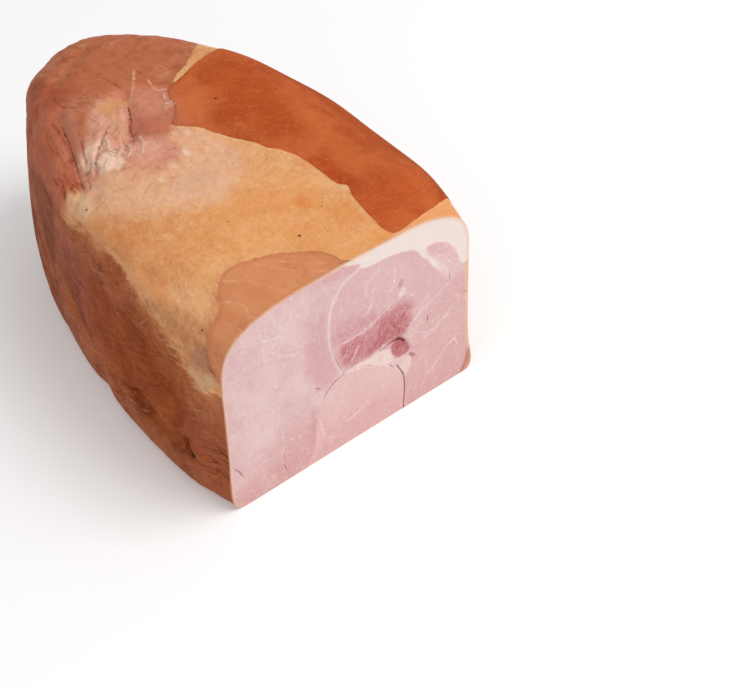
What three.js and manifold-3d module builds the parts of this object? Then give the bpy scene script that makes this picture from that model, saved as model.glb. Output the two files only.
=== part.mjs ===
// A block of boneless cooked ham, cut square across at one end and domed at the other.
// Millimetres, +Z up. The cut faces -Y and the ham lies along +Y on its flat underside.
// The ham is described by cross-sections: a station is the distance behind the cut, and a
// bearing is an angle round the section's middle in degrees, 0 to the right and 90 to the top.
import * as THREE from 'three';
import { mergeVertices } from 'three/addons/utils/BufferGeometryUtils.js';
import Module from 'manifold-3d';

const wasm = await Module();
wasm.setup();

// ---- Driving dimensions ------------------------------------------------------------------
const LENGTH = 312;          // from the cut to the tip of the domed end
const GIRTH_HEIGHT = 72;     // height at which the ham is widest
// Reach of each side from the middle line: at the cut, extra swell half way, at the far end
const LEFT = { cut: 91, swell: 15.5, far: 91 };
const RIGHT = { cut: 89, swell: 21, far: 103 };
const TOP = { cut: 139, swell: 9, far: 154 };
// How each side closes towards the domed end: power of the station, root of the result
const SIDE_CLOSING = { power: 1.73, root: 2.2 };
const TOP_CLOSING = { power: 7.4, root: 3.33 };
const UNDERSIDE_CLOSING = { power: 6.9, root: 2.64 };
// Squareness of the four corners, as the powers of a superellipse
const CORNER_POWER = [3.7, 4.4, 15.5, 13.5];   // top right, top left, bottom left, bottom right
const FAR_CORNER_POWER = 2.95;
const TOE_FLARE = 4.7;       // the lower right side spreads outwards beside the cut
const FAR_LEAN = 3.2;        // the domed end leans to the right at the top
const FLAT_DEPTH = 1.2;      // the underside is pressed flat by this much
// No relief on the side that it lies on: it fades out between these turns from its middle
const UNDERSIDE = { bearing: 270, plain: 37, full: 62 };

// Broad swellings (mm high) and hollows, at a station and bearing, with their half sizes
const SWELLINGS = [
  { station: 41, bearing: 205, height: 3.4, long: 37, wide: 22 },
  { station: 31, bearing: 45, height: 9, long: 31, wide: 18 },
  { station: 250, bearing: 215, height: 4, long: 44, wide: 25 },
  { station: 250, bearing: 140, height: -2.2, long: 37, wide: 22 },
  { station: 276, bearing: 84, height: 2.6, long: 26, wide: 17 },  // two humps of the domed end
  { station: 283, bearing: 132, height: 2.4, long: 22, wide: 12 },
  { station: 278, bearing: 112, height: -3, long: 24, wide: 10 },  // and the dip between them
  { station: 208, bearing: 216, height: 2.2, long: 22, wide: 10 },
  { station: 2, bearing: 33, height: 2.2, long: 16, wide: 10 },    // right shoulder by the cut
  { station: 172, bearing: 60, height: 3.8, long: 62, wide: 25 },
  { station: 0, bearing: -38, height: 5, long: 14, wide: 8 },      // lip of skin at the toe
  { station: 128, bearing: 210, height: -2.4, long: 9, wide: 14 }, // ledge low on the left
  { station: 185, bearing: 122, height: 2.4, long: 20, wide: 9 },  // muscle heads, far end
  { station: 150, bearing: 108, height: 1.8, long: 16, wide: 8 },
  { station: 232, bearing: 150, height: 2.2, long: 26, wide: 14 },
];
// Creases between muscles: a route of [station, bearing] points, its depth and half width
const CREASES = [
  { route: [[214, 130], [186, 135], [168, 139], [148, 143]], depth: 3.6, width: 5.5 },
  { route: [[192, 107], [178, 110], [164, 114], [156, 122]], depth: 3, width: 5 },
  { route: [[160, 135], [136, 140]], depth: 2.2, width: 4.5 },
  { route: [[80, 198], [60, 200], [34, 200]], depth: 2.6, width: 4.5 },
  { route: [[262, 96], [240, 128], [236, 168]], depth: 2.6, width: 7 },
];
// Gentle waves of the whole skin, mm high: so many round it, which turn and swell along it
const WAVES = { height: 0.7, round: 5, turning: 19, swelling: 27, start: 1 };
const RELIEF_FADE = 30;      // the relief fades where the section's radius is less than this

// ---- Fat cap -----------------------------------------------------------------------------
const FAT_THIN = 5;          // over the left of the top
const FAT_THICK = 12.5;      // round the right shoulder, as the cut shows
const FAT_THICKENS = [100, 64];                        // bearings between which it gets thicker
const FAT_WEDGE = { bearing: 53, depth: 7, wide: 5 };  // fat that dips between two muscles
const FAT_EDGE_SLOPE = 0.65; // the fat runs out to its border as a wedge this steep
const PROUD = 6;             // how far the cutting form stands clear of the skin elsewhere
const BEYOND = 12;           // how far the cutting form runs out past the cut
const GAP = 0.32;            // free space between the fat and the lean
const ARC_PER_DEGREE = 1.62; // mm of skin in one degree of bearing, near enough all round
// The border of the cap, as [station, bearing] points, round from the top of the cut
const FAT_BORDER = [
  [-30, 90], [4, 92], [22, 103], [33, 124], [28, 142], [20, 160], [34, 163], [60, 154],
  [100, 149], [136, 150], [156, 142], [136, 126], [132, 112], [150, 98], [184, 88],
  [199, 70], [213, 42], [212, 12], [184, -13], [136, -13], [70, 0], [20, 14], [-30, 17],
];

// ---- Fineness ----------------------------------------------------------------------------
const AROUND = 84;           // facets round the ham
const ALONG = 42;            // and along it
const BORDER_STEPS = 4;      // straight stretches between two points of the cap's border
const MERGE = 1e-3;          // points nearer than this are one
const ON_AXIS = 1e-6;        // points of the cone nearer than this to its axis lie on it

const MEAT_PINK = 0xd9a3a0;
const FAT_GOLD = 0xd99a5e;

const radians = THREE.MathUtils.degToRad;
const lerp = THREE.MathUtils.lerp;
const smoothstep = THREE.MathUtils.smoothstep;

function bell(x) {
  return Math.exp(-x * x);
}

// Smallest turn from one bearing to another, in degrees, from -180 to 180
function turn(from, to) {
  return THREE.MathUtils.euclideanModulo(to - from + 180, 360) - 180;
}

// Reach of one side at a share of the length: straight from cut to far end, plus a swell
function reach(side, share) {
  return lerp(side.cut, side.far, share) + side.swell * 4 * share * (1 - share);
}

function closing(rule, share) {
  return (1 - share ** rule.power) ** (1 / rule.root);
}

function cornerPower(angle, share) {
  let total = 0;
  let weightSum = 0;
  CORNER_POWER.forEach((power, corner) => {
    const middle = Math.PI * (0.25 + 0.5 * corner);
    const weight = Math.max(0, Math.cos(angle - middle)) ** 2;
    total += weight * lerp(power, FAR_CORNER_POWER, share ** 2);
    weightSum += weight;
  });
  return total / weightSum;
}

// Distance from a point of the unrolled skin to a route of such points
function distanceToRoute(x, y, route) {
  let nearest = Infinity;
  for (let i = 1; i < route.length; i += 1) {
    const [ax, ay] = route[i - 1];
    const [bx, by] = route[i];
    const along = ((x - ax) * (bx - ax) + (y - ay) * (by - ay))
      / ((bx - ax) ** 2 + (by - ay) ** 2);
    const share = THREE.MathUtils.clamp(along, 0, 1);
    nearest = Math.min(nearest, Math.hypot(x - lerp(ax, bx, share), y - lerp(ay, by, share)));
  }
  return nearest;
}

function unroll([station, bearing]) {
  return [station, bearing * ARC_PER_DEGREE];
}

const creaseRoutes = CREASES.map(({ route }) => route.map(unroll));

// Height of all the swellings, hollows, creases and waviness at one place of the skin
function relief(station, bearing) {
  let height = 0;
  for (const swelling of SWELLINGS) {
    height += swelling.height * bell((station - swelling.station) / swelling.long)
      * bell(turn(swelling.bearing, bearing) / swelling.wide);
  }
  const [x, y] = unroll([station, bearing]);
  CREASES.forEach(({ depth, width }, i) => {
    height -= depth * bell(distanceToRoute(x, y, creaseRoutes[i]) / width);
  });
  const angle = radians(bearing);
  height += WAVES.height * Math.sin(WAVES.round * angle + station / WAVES.turning)
    * Math.sin(station / WAVES.swelling + WAVES.start);
  const fromBelow = Math.abs(turn(UNDERSIDE.bearing, bearing));
  return height * smoothstep(fromBelow, UNDERSIDE.plain, UNDERSIDE.full);
}

// A point of the skin, or of a form that lies a given inset below it
function skinPoint(station, bearing, inset) {
  const share = THREE.MathUtils.clamp(station / LENGTH, 0, 1);
  const angle = radians(bearing);
  const sideClosing = closing(SIDE_CLOSING, share);
  const left = reach(LEFT, share) * sideClosing;
  const right = reach(RIGHT, share) * sideClosing;
  const top = lerp(GIRTH_HEIGHT, reach(TOP, share), closing(TOP_CLOSING, share));
  const bottom = GIRTH_HEIGHT * (1 - closing(UNDERSIDE_CLOSING, share));
  const halfWidth = (left + right) / 2;
  const halfHeight = (top - bottom) / 2;
  let radius = 0;
  if (share < 1) {
    const power = cornerPower(angle, share);
    radius = (Math.abs(Math.cos(angle) / halfWidth) ** power
      + Math.abs(Math.sin(angle) / halfHeight) ** power) ** (-1 / power);
    radius += relief(station, bearing) * Math.min(1, radius / RELIEF_FADE);
  }
  radius = Math.max(0, radius - inset);
  const across = radius * Math.cos(angle);
  const up = radius * Math.sin(angle);
  const spread = halfWidth > 0 ? THREE.MathUtils.clamp(across / halfWidth, 0, 1) : 0;
  const flare = halfHeight > 0 ? TOE_FLARE * spread * (-up / halfHeight) * (1 - share) ** 3 : 0;
  return new THREE.Vector3(
    (right - left) / 2 + across + flare + FAR_LEAN * share ** 3 * Math.sin(angle),
    station,
    (top + bottom) / 2 + up,
  );
}

// The closed border of the cap on the unrolled skin, smoothed through its points
const borderCurve = new THREE.CatmullRomCurve3(
  FAT_BORDER.map(unroll).map(([x, y]) => new THREE.Vector3(x, y, 0)),
  true,
  'centripetal',
);
const border = borderCurve.getPoints(FAT_BORDER.length * BORDER_STEPS).map(({ x, y }) => [x, y]);

// Distance inside the cap's border, negative outside it
function insideCap(station, bearing) {
  const [x, y] = unroll([station, bearing > 270 ? bearing - 360 : bearing]);
  let inside = false;
  for (let i = 1; i < border.length; i += 1) {
    const [ax, ay] = border[i - 1];
    const [bx, by] = border[i];
    if ((ay > y) !== (by > y) && x < ax + ((y - ay) * (bx - ax)) / (by - ay)) {
      inside = !inside;
    }
  }
  return distanceToRoute(x, y, border) * (inside ? 1 : -1);
}

function fatDepth(bearing) {
  const thickness = lerp(
    FAT_THICK,
    FAT_THIN,
    smoothstep(Math.abs(turn(0, bearing)), FAT_THICKENS[1], FAT_THICKENS[0]),
  );
  return thickness + FAT_WEDGE.depth * bell(turn(FAT_WEDGE.bearing, bearing) / FAT_WEDGE.wide);
}

// How far the underside of the cap lies below the skin; above the skin outside the cap
function capInset(station, bearing) {
  const wedge = insideCap(Math.max(0, station), bearing) * FAT_EDGE_SLOPE;
  return THREE.MathUtils.clamp(wedge, -PROUD, fatDepth(bearing));
}

// The same surface, sunk by the free space between the fat and the lean
function leanInset(station, bearing) {
  return capInset(station, bearing) + GAP / Math.cos(Math.atan(FAT_EDGE_SLOPE));
}

// A closed form bent from a cone whose base is the cut end and whose tip is the domed end
function hamGeometry(insetAt, start, end) {
  const geometry = new THREE.ConeGeometry(1, 1, AROUND, ALONG, false);
  geometry.deleteAttribute('normal');
  geometry.deleteAttribute('uv');
  const position = geometry.getAttribute('position');
  for (let i = 0; i < position.count; i += 1) {
    const height = position.getY(i) + 0.5;
    const axial = Math.hypot(position.getX(i), position.getZ(i)) < ON_AXIS;
    const bearing = THREE.MathUtils.radToDeg(Math.atan2(position.getZ(i), position.getX(i)));
    // stations crowd together towards the domed end, where the ham closes fast
    const station = lerp(start, LENGTH, 1 - (1 - height) ** 2);
    const from = THREE.MathUtils.euclideanModulo(bearing, 360);
    const point = skinPoint(station, from, axial ? LENGTH : insetAt(station, from));
    if (axial && height > 0.5) {
      point.y = end;
    }
    position.setXYZ(i, point.x, point.y, point.z);
  }
  return mergeVertices(geometry, MERGE);
}

// The whole ham, with its underside pressed flat
function wholeGeometry() {
  const geometry = hamGeometry(() => 0, 0, LENGTH);
  const position = geometry.getAttribute('position');
  for (let i = 0; i < position.count; i += 1) {
    position.setZ(i, Math.max(FLAT_DEPTH, position.getZ(i)));
  }
  geometry.computeBoundingBox();
  return geometry;
}

function toSolid(geometry) {
  return new wasm.Manifold(new wasm.Mesh({
    numProp: 3,
    vertProperties: new Float32Array(geometry.getAttribute('position').array),
    triVerts: new Uint32Array(geometry.getIndex().array),
  }));
}

function toGeometry(solid) {
  const { vertProperties, triVerts } = solid.getMesh();
  const geometry = new THREE.BufferGeometry();
  geometry.setAttribute('position', new THREE.BufferAttribute(vertProperties, 3));
  geometry.setIndex(new THREE.BufferAttribute(triVerts, 1));
  geometry.computeVertexNormals();
  return geometry;
}

const whole = wholeGeometry();
const ham = toSolid(whole);

// ---- The pieces --------------------------------------------------------------------------
function leanMeat() {
  const form = toSolid(hamGeometry(leanInset, -BEYOND, LENGTH + BEYOND));
  const material = new THREE.MeshStandardMaterial({
    color: MEAT_PINK, roughness: 0.45, metalness: 0,
  });
  const mesh = new THREE.Mesh(toGeometry(ham.intersect(form)), material);
  mesh.name = 'lean_meat';
  return mesh;
}

function fatCap() {
  const form = toSolid(hamGeometry(capInset, -BEYOND, LENGTH + BEYOND));
  const material = new THREE.MeshStandardMaterial({
    color: FAT_GOLD, roughness: 0.4, metalness: 0,
  });
  const mesh = new THREE.Mesh(toGeometry(ham.subtract(form)), material);
  mesh.name = 'fat_cap';
  return mesh;
}

// The origin is under the middle of the ham, on the surface that it lies on
const { min, max } = whole.boundingBox;
const cookedHam = new THREE.Group();
cookedHam.position.set(-(min.x + max.x) / 2, -(min.y + max.y) / 2, -min.z);
cookedHam.add(leanMeat(), fatCap());

const part = new THREE.Group();
part.add(cookedHam);

export default part;
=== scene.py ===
"""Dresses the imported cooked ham: its fine skin and cut, parted into lean meat and fat cap.

Sizes in the classes are millimetres and meshes are metres. The ham is described by
cross-sections: a station is the distance behind the cut, and a bearing is an angle round the
section's middle in degrees, 0 to the right and 90 to the top. Places on the cut are measured
to the right of and above its lower left corner.
"""
import logging
import math
from dataclasses import dataclass, field
from enum import Enum

import bmesh
import bpy
import numpy as np
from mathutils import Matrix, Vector, noise


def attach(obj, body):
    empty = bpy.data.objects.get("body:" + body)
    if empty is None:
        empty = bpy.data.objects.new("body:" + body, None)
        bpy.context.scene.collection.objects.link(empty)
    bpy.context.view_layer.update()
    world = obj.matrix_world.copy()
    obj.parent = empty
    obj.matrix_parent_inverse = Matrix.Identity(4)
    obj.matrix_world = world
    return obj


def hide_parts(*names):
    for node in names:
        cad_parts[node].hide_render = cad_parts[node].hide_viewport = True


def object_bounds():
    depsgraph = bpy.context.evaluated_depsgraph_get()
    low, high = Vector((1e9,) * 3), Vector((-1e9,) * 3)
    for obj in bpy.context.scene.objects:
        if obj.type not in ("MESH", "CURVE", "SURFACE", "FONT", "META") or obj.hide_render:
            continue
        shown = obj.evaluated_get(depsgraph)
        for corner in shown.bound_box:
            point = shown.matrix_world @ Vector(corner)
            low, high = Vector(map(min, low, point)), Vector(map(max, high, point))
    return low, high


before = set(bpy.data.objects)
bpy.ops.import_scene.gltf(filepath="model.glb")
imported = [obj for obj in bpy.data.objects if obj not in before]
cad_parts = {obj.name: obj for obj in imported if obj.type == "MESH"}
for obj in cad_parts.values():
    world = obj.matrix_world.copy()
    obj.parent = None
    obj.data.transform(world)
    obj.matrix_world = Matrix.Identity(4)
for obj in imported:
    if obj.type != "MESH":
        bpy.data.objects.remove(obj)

CAD_LOW, CAD_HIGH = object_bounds()
LOG = logging.getLogger("cooked_ham")
MM = 0.001
ARC_PER_DEGREE = 1.62  # mm of skin in one degree of bearing, near enough all round
NEARLY_ONE = 1.0 - 1e-9  # a share of the length that is still short of the tip
TINY = 1e-6  # the least divisor
CUT_CORNER = 84.0  # places on the cut count from this far left of the form's middle
CUT_FOOT = -1.0  # and from this height in the form
PRESSED_FLAT = 1.2  # the underside is pressed flat by this much
MEASURED = 22.0  # distances from a line are measured this near to it
FAR_OUTSIDE = -60.0  # the signed distance of all places that are farther
TIP_FADE = 30.0  # relief fades out where the skin is nearer to its middle than this
Rgb = tuple[int, int, int]  # a display colour, from 0 to 255
Place = tuple[float, float]  # a place of a flat chart


# ---- Form ----
def bell(x: np.ndarray) -> np.ndarray:
    """A smooth hump, 1 at 0 and nearly nothing beyond 2."""
    return np.exp(-x * x)


def smooth(low: float, high: float, x: np.ndarray) -> np.ndarray:
    """Eases from 0 at low to 1 at high."""
    t = np.clip((x - low) / (high - low), 0.0, 1.0)
    return t * t * (3.0 - 2.0 * t)


def turn(start: float, end: np.ndarray) -> np.ndarray:
    """The smallest turn from one bearing to others, in degrees."""
    return (end - start + 180.0) % 360.0 - 180.0


@dataclass(frozen=True)
class Side:
    """How far one side of the ham reaches from its middle line, in mm."""

    cut: float
    far: float
    swell: float

    def at(self, share: np.ndarray) -> np.ndarray:
        """The reach at a share of the length."""
        return self.cut + (self.far - self.cut) * share + self.swell * 4 * share * (1 - share)


@dataclass(frozen=True)
class Closing:
    """How one side closes towards the domed end."""

    power: float
    root: float

    def at(self, share: np.ndarray) -> np.ndarray:
        """The part of the full reach that is left at a share of the length."""
        return np.maximum(0.0, 1.0 - share**self.power) ** (1.0 / self.root)


@dataclass(frozen=True)
class Swelling:
    """A broad hump or hollow of the skin, in mm and degrees."""

    station: float
    bearing: float
    height: float
    long: float
    wide: float

    def at(self, station: np.ndarray, bearing: np.ndarray) -> np.ndarray:
        """Its height at places of the skin."""
        along = bell((station - self.station) / self.long)
        return self.height * along * bell(turn(self.bearing, bearing) / self.wide)


@dataclass(frozen=True)
class Route:
    """A smooth line through a few places of a flat chart, in mm, open or closed."""

    places: tuple[Place, ...]
    closed: bool = False
    steps: int = 5

    def drawn(self) -> np.ndarray:
        """Draws the line by the rule of Catmull and Rom.

        Returns:
            The ends of its many short straight stretches, one row each.
        """
        p = np.array(self.places, float)
        if len(p) < 3:
            return p
        if self.closed:
            p = np.vstack([p[-1], p, p[:2]])
        else:
            p = np.vstack([2 * p[0] - p[1], p, 2 * p[-1] - p[-2]])
        t = (np.arange(self.steps) / self.steps)[:, None]
        runs = []
        for a, b, c, d in zip(p[:-3], p[1:-2], p[2:-1], p[3:]):
            runs.append(0.5 * (2 * b + (c - a) * t + (2 * a - 5 * b + 4 * c - d) * t**2
                               + (3 * b - a - 3 * c + d) * t**3))
        return np.vstack([*runs, p[-2]])

    def near(self, line: np.ndarray, x: np.ndarray, y: np.ndarray) -> np.ndarray:
        """Which places are near enough to the drawn line to be measured."""
        low, high = line.min(0) - MEASURED, line.max(0) + MEASURED
        return (x > low[0]) & (x < high[0]) & (y > low[1]) & (y < high[1])

    def offset(self, x: np.ndarray, y: np.ndarray) -> np.ndarray:
        """Signed distances of places from the line, positive on one side of it.

        Args:
            x: first coordinates of the places.
            y: second coordinates of the places.

        Returns:
            The distances in mm, which are measured only where they are small.
        """
        line = self.drawn()
        near = self.near(line, x, y)
        px, py = x[near], y[near]
        nearest = np.full(px.shape, -FAR_OUTSIDE)
        for (ax, ay), (bx, by) in zip(line[:-1], line[1:]):
            dx, dy = bx - ax, by - ay
            along = ((px - ax) * dx + (py - ay) * dy) / max(dx * dx + dy * dy, 1e-9)
            t = np.clip(along, 0.0, 1.0)
            gap = np.hypot(px - ax - t * dx, py - ay - t * dy)
            side = np.where(dx * (py - ay) < dy * (px - ax), -gap, gap)
            nearest = np.where(gap < np.abs(nearest), side, nearest)
        offset = np.full(x.shape, -FAR_OUTSIDE)
        offset[near] = nearest
        return offset

    def inside(self, x: np.ndarray, y: np.ndarray) -> np.ndarray:
        """How far places lie inside a closed line, negative outside.

        Args:
            x: first coordinates of the places.
            y: second coordinates of the places.

        Returns:
            Their signed distances, in mm.
        """
        line = self.drawn()
        near = self.near(line, x, y)
        px, py = x[near], y[near]
        within = np.zeros(px.shape, bool)
        for (ax, ay), (bx, by) in zip(line[:-1], line[1:]):
            if ay == by:
                continue
            crosses = ((ay > py) != (by > py)) & (px < ax + (py - ay) * (bx - ax) / (by - ay))
            within ^= crosses
        inside = np.full(x.shape, FAR_OUTSIDE)
        inside[near] = np.where(within, 1.0, -1.0) * np.abs(self.offset(px, py))
        return inside


def on_skin(*places: Place, closed: bool = False) -> Route:
    """A line on the unrolled skin, through stations in mm and bearings in degrees."""
    return Route(tuple((s, b * ARC_PER_DEGREE) for s, b in places), closed)


def skin_area(*places: Place) -> Route:
    """A closed line on the unrolled skin, which runs back to its first place."""
    return on_skin(*places, closed=True)


def skin_lines(*lines: tuple[Place, ...]) -> tuple[Route, ...]:
    """Several open lines on the unrolled skin."""
    return tuple(on_skin(*places) for places in lines)


@dataclass(frozen=True)
class Crease:
    """A furrow of the skin between two muscles."""

    route: Route
    depth: float
    width: float

    def at(self, station: np.ndarray, arc: np.ndarray) -> np.ndarray:
        """Its depth at places of the unrolled skin."""
        return self.depth * bell(self.route.offset(station, arc) / self.width)


SWELLINGS = (
    Swelling(41, 205, 3.4, 37, 22),
    Swelling(31, 45, 9.0, 31, 18),
    Swelling(250, 215, 4.0, 44, 25),
    Swelling(250, 140, -2.2, 37, 22),
    Swelling(276, 84, 2.6, 26, 17),
    Swelling(283, 132, 2.4, 22, 12),
    Swelling(278, 112, -3.0, 24, 10),
    Swelling(208, 216, 2.2, 22, 10),
    Swelling(2, 33, 2.2, 16, 10),
    Swelling(172, 60, 3.8, 62, 25),
    Swelling(0, -38, 5.0, 14, 8),
    Swelling(128, 210, -2.4, 9, 14),
    Swelling(185, 122, 2.4, 20, 9),
    Swelling(150, 108, 1.8, 16, 8),
    Swelling(232, 150, 2.2, 26, 14),
)
BROAD_CREASES = (
    Crease(on_skin((214, 130), (186, 135), (168, 139), (148, 143)), 3.6, 5.5),
    Crease(on_skin((192, 107), (178, 110), (164, 114), (156, 122)), 3.0, 5.0),
    Crease(on_skin((160, 135), (136, 140)), 2.2, 4.5),
    Crease(on_skin((80, 198), (60, 200), (34, 200)), 2.6, 4.5),
    Crease(on_skin((262, 96), (240, 128), (236, 168)), 2.6, 7.0),
)


@dataclass(frozen=True)
class HamForm:
    """The ham's cross-sections, as its solids have them."""

    length: float = 312.0
    girth_height: float = 72.0
    left: Side = Side(91.0, 91.0, 15.5)
    right: Side = Side(89.0, 103.0, 21.0)
    top: Side = Side(139.0, 154.0, 9.0)
    side_closing: Closing = Closing(1.73, 2.2)
    top_closing: Closing = Closing(7.4, 3.33)
    underside_closing: Closing = Closing(6.9, 2.64)
    corner_power: tuple[float, ...] = (3.7, 4.4, 15.5, 13.5)
    far_corner_power: float = 2.95
    toe_flare: float = 4.7
    far_lean: float = 3.2
    wave_height: float = 0.7
    plain_turn: float = 37.0  # no relief nearer than this to the underside's middle
    full_turn: float = 62.0  # and all of it farther away than this

    def share(self, station: np.ndarray) -> np.ndarray:
        """The shares of the length at stations, all short of the tip."""
        return np.clip(station / self.length, 0.0, NEARLY_ONE)

    def section(self, share: np.ndarray) -> tuple[np.ndarray, ...]:
        """The measures of the sections.

        Args:
            share: shares of the length.

        Returns:
            Half widths, half heights, and how far right and up their middles lie, in mm.
        """
        left = self.left.at(share) * self.side_closing.at(share)
        right = self.right.at(share) * self.side_closing.at(share)
        rise = (self.top.at(share) - self.girth_height) * self.top_closing.at(share)
        top = self.girth_height + rise
        bottom = self.girth_height * (1.0 - self.underside_closing.at(share))
        return (left + right) / 2, (top - bottom) / 2, (right - left) / 2, (top + bottom) / 2

    def power(self, share: np.ndarray, angle: np.ndarray) -> np.ndarray:
        """How square the sections are, from the squareness of their four corners.

        Args:
            share: shares of the length.
            angle: bearings, in radians.

        Returns:
            The superellipse power at each place.
        """
        total, weights = 0.0, 0.0
        for corner, squareness in enumerate(self.corner_power):
            middle = math.pi * (0.25 + 0.5 * corner)
            weight = np.maximum(0.0, np.cos(angle - middle)) ** 2
            total = total + weight * (squareness + (self.far_corner_power - squareness) * share**2)
            weights = weights + weight
        return total / weights

    def relief(self, station: np.ndarray, bearing: np.ndarray) -> np.ndarray:
        """The broad humps and furrows of the skin.

        Args:
            station: stations of the places, in mm.
            bearing: their bearings, in degrees.

        Returns:
            Their heights, in mm.
        """
        height = sum(swelling.at(station, bearing) for swelling in SWELLINGS)
        arc = bearing * ARC_PER_DEGREE
        height = height - sum(crease.at(station, arc) for crease in BROAD_CREASES)
        wave = np.sin(5 * np.radians(bearing) + station / 19) * np.sin(station / 27 + 1)
        from_below = np.abs(turn(270.0, bearing))
        fade = smooth(self.plain_turn, self.full_turn, from_below)
        return (height + self.wave_height * wave) * fade

    def radius(self, station: np.ndarray, bearing: np.ndarray) -> np.ndarray:
        """How far the skin is from its section's middle.

        Args:
            station: stations of the places, in mm.
            bearing: their bearings, in degrees.

        Returns:
            The distances, in mm.
        """
        share = self.share(station)
        angle = np.radians(bearing)
        half_width, half_height, _, _ = self.section(share)
        power = self.power(share, angle)
        plain = (np.abs(np.cos(angle) / half_width) ** power
                 + np.abs(np.sin(angle) / half_height) ** power) ** (-1.0 / power)
        return plain + self.relief(station, bearing) * np.minimum(1.0, plain / TIP_FADE)

    def drift(self, share: np.ndarray, across: np.ndarray, up: np.ndarray) -> np.ndarray:
        """How far the flare of the toe and the lean of the dome move places to the right.

        Args:
            share: shares of the length.
            across: how far right of the section's middle the places lie, in mm.
            up: how far above it they lie, in mm.

        Returns:
            The moves, in mm.
        """
        half_width, half_height, _, _ = self.section(share)
        spread = np.clip(across / np.maximum(half_width, TINY), 0.0, 1.0)
        flare = self.toe_flare * spread * -up / np.maximum(half_height, TINY) * (1 - share) ** 3
        rise = up / np.maximum(np.hypot(across, up), TINY)
        return flare + self.far_lean * share**3 * rise

    def place(self, station: np.ndarray, bearing: np.ndarray, radius: np.ndarray) -> np.ndarray:
        """Turns stations, bearings and radii into places.

        Args:
            station: distances behind the cut, in mm.
            bearing: angles round the section's middle, in degrees.
            radius: distances from the section's middle, in mm.

        Returns:
            One row of x, y and z in mm for each, in the form's own frame.
        """
        share = self.share(station)
        _, _, middle_x, middle_z = self.section(share)
        across = radius * np.cos(np.radians(bearing))
        up = radius * np.sin(np.radians(bearing))
        x = middle_x + across + self.drift(share, across, up)
        return np.stack([x, station, middle_z + up], -1)

    def find(self, x: np.ndarray, station: np.ndarray, z: np.ndarray) -> tuple[np.ndarray, ...]:
        """Finds bearings and radii of places, the reverse of place.

        Args:
            x: places along x in the form's own frame, in mm.
            station: distances behind the cut, in mm.
            z: heights in the form's own frame, in mm.

        Returns:
            Their bearings, from -90 to 270 degrees, and their radii in mm.
        """
        share = self.share(station)
        _, _, middle_x, middle_z = self.section(share)
        up = z - middle_z
        across = x - middle_x
        for _ in range(3):
            across = x - middle_x - self.drift(share, across, up)
        bearing = np.degrees(np.arctan2(up, across))
        return np.where(bearing < -90.0, bearing + 360.0, bearing), np.hypot(across, up)


@dataclass(frozen=True)
class FatCap:
    """The layer of fat under the top right of the skin, as the solids have it."""

    thin: float = 5.0  # mm, over the top
    thick: float = 12.5  # mm, at the right
    thickens: tuple[float, float] = (64.0, 100.0)  # bearings from the right between the two
    wedge_bearing: float = 53.0
    wedge_depth: float = 7.0
    wedge_wide: float = 5.0
    edge_slope: float = 0.65  # how steeply it thins out to its border
    proud: float = 6.0  # mm that the parting form stands out beyond the border
    past_cut: float = 12.0  # mm that the parting form runs out past the cut
    border: Route = skin_area(
        (-30, 90), (4, 92), (22, 103), (33, 124), (28, 142), (20, 160), (34, 163), (60, 154),
        (100, 149), (136, 150), (156, 142), (136, 126), (132, 112), (150, 98), (184, 88),
        (199, 70), (213, 42), (212, 12), (184, -13), (136, -13), (70, 0), (20, 14), (-30, 17),
    )

    def inset(self, station: np.ndarray, bearing: np.ndarray) -> np.ndarray:
        """How deep the cap's underside lies.

        Args:
            station: stations of the places, in mm.
            bearing: their bearings, in degrees.

        Returns:
            Its depths below the skin in mm, negative outside the cap.
        """
        ease = smooth(*self.thickens, np.abs(turn(0.0, bearing)))
        thickness = self.thick + (self.thin - self.thick) * ease
        wedge = self.wedge_depth * bell(turn(self.wedge_bearing, bearing) / self.wedge_wide)
        inside = self.border.inside(np.maximum(0.0, station), bearing * ARC_PER_DEGREE)
        return np.clip(inside * self.edge_slope, -self.proud, thickness + wedge)


# ---- Marks of the skin and the cut ----
@dataclass(frozen=True)
class Tint:
    """A patch of its own colour on the skin or the cut."""

    name: str
    outline: Route
    tone: Rgb
    soft: float = 1.5  # mm over which it fades, on each side of its edge
    share: float = 1.0  # how much of what lies under it is covered
    reach: float = 1.5  # mm that noise moves its edge
    size: float = 9.0  # mm, the size of that noise
    patchy: float = 0.25  # how much of it clouds wear off


WEAR_SIZE = 0.8  # the clouds that wear a tint off, as a share of its size
FRAY_SIZE = 3.0  # mm, the noise that frays strands
GAP_SIZE = 7.0  # mm, the clouds that break them
STRAND_END = (2.6, 1.6)  # mm beyond their half width within which they fade out for good


@dataclass(frozen=True)
class Strands:
    """Thin lines of one colour on the skin or the cut, sunk or raised a little."""

    name: str
    routes: tuple[Route, ...]
    half: float  # mm, half the width
    tone: Rgb
    share: float = 0.8
    fray: float = 0.5  # mm that noise changes the width
    rise: float = 0.0  # mm, negative where they are furrows
    soft: float = 0.3  # mm over which they fade, on each side of their edge
    broken: float = 0.5  # how much clouds take off them

    @property
    def side_name(self) -> str:
        """The name of the mark with their signed distance."""
        return f"{self.name}_side"


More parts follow.
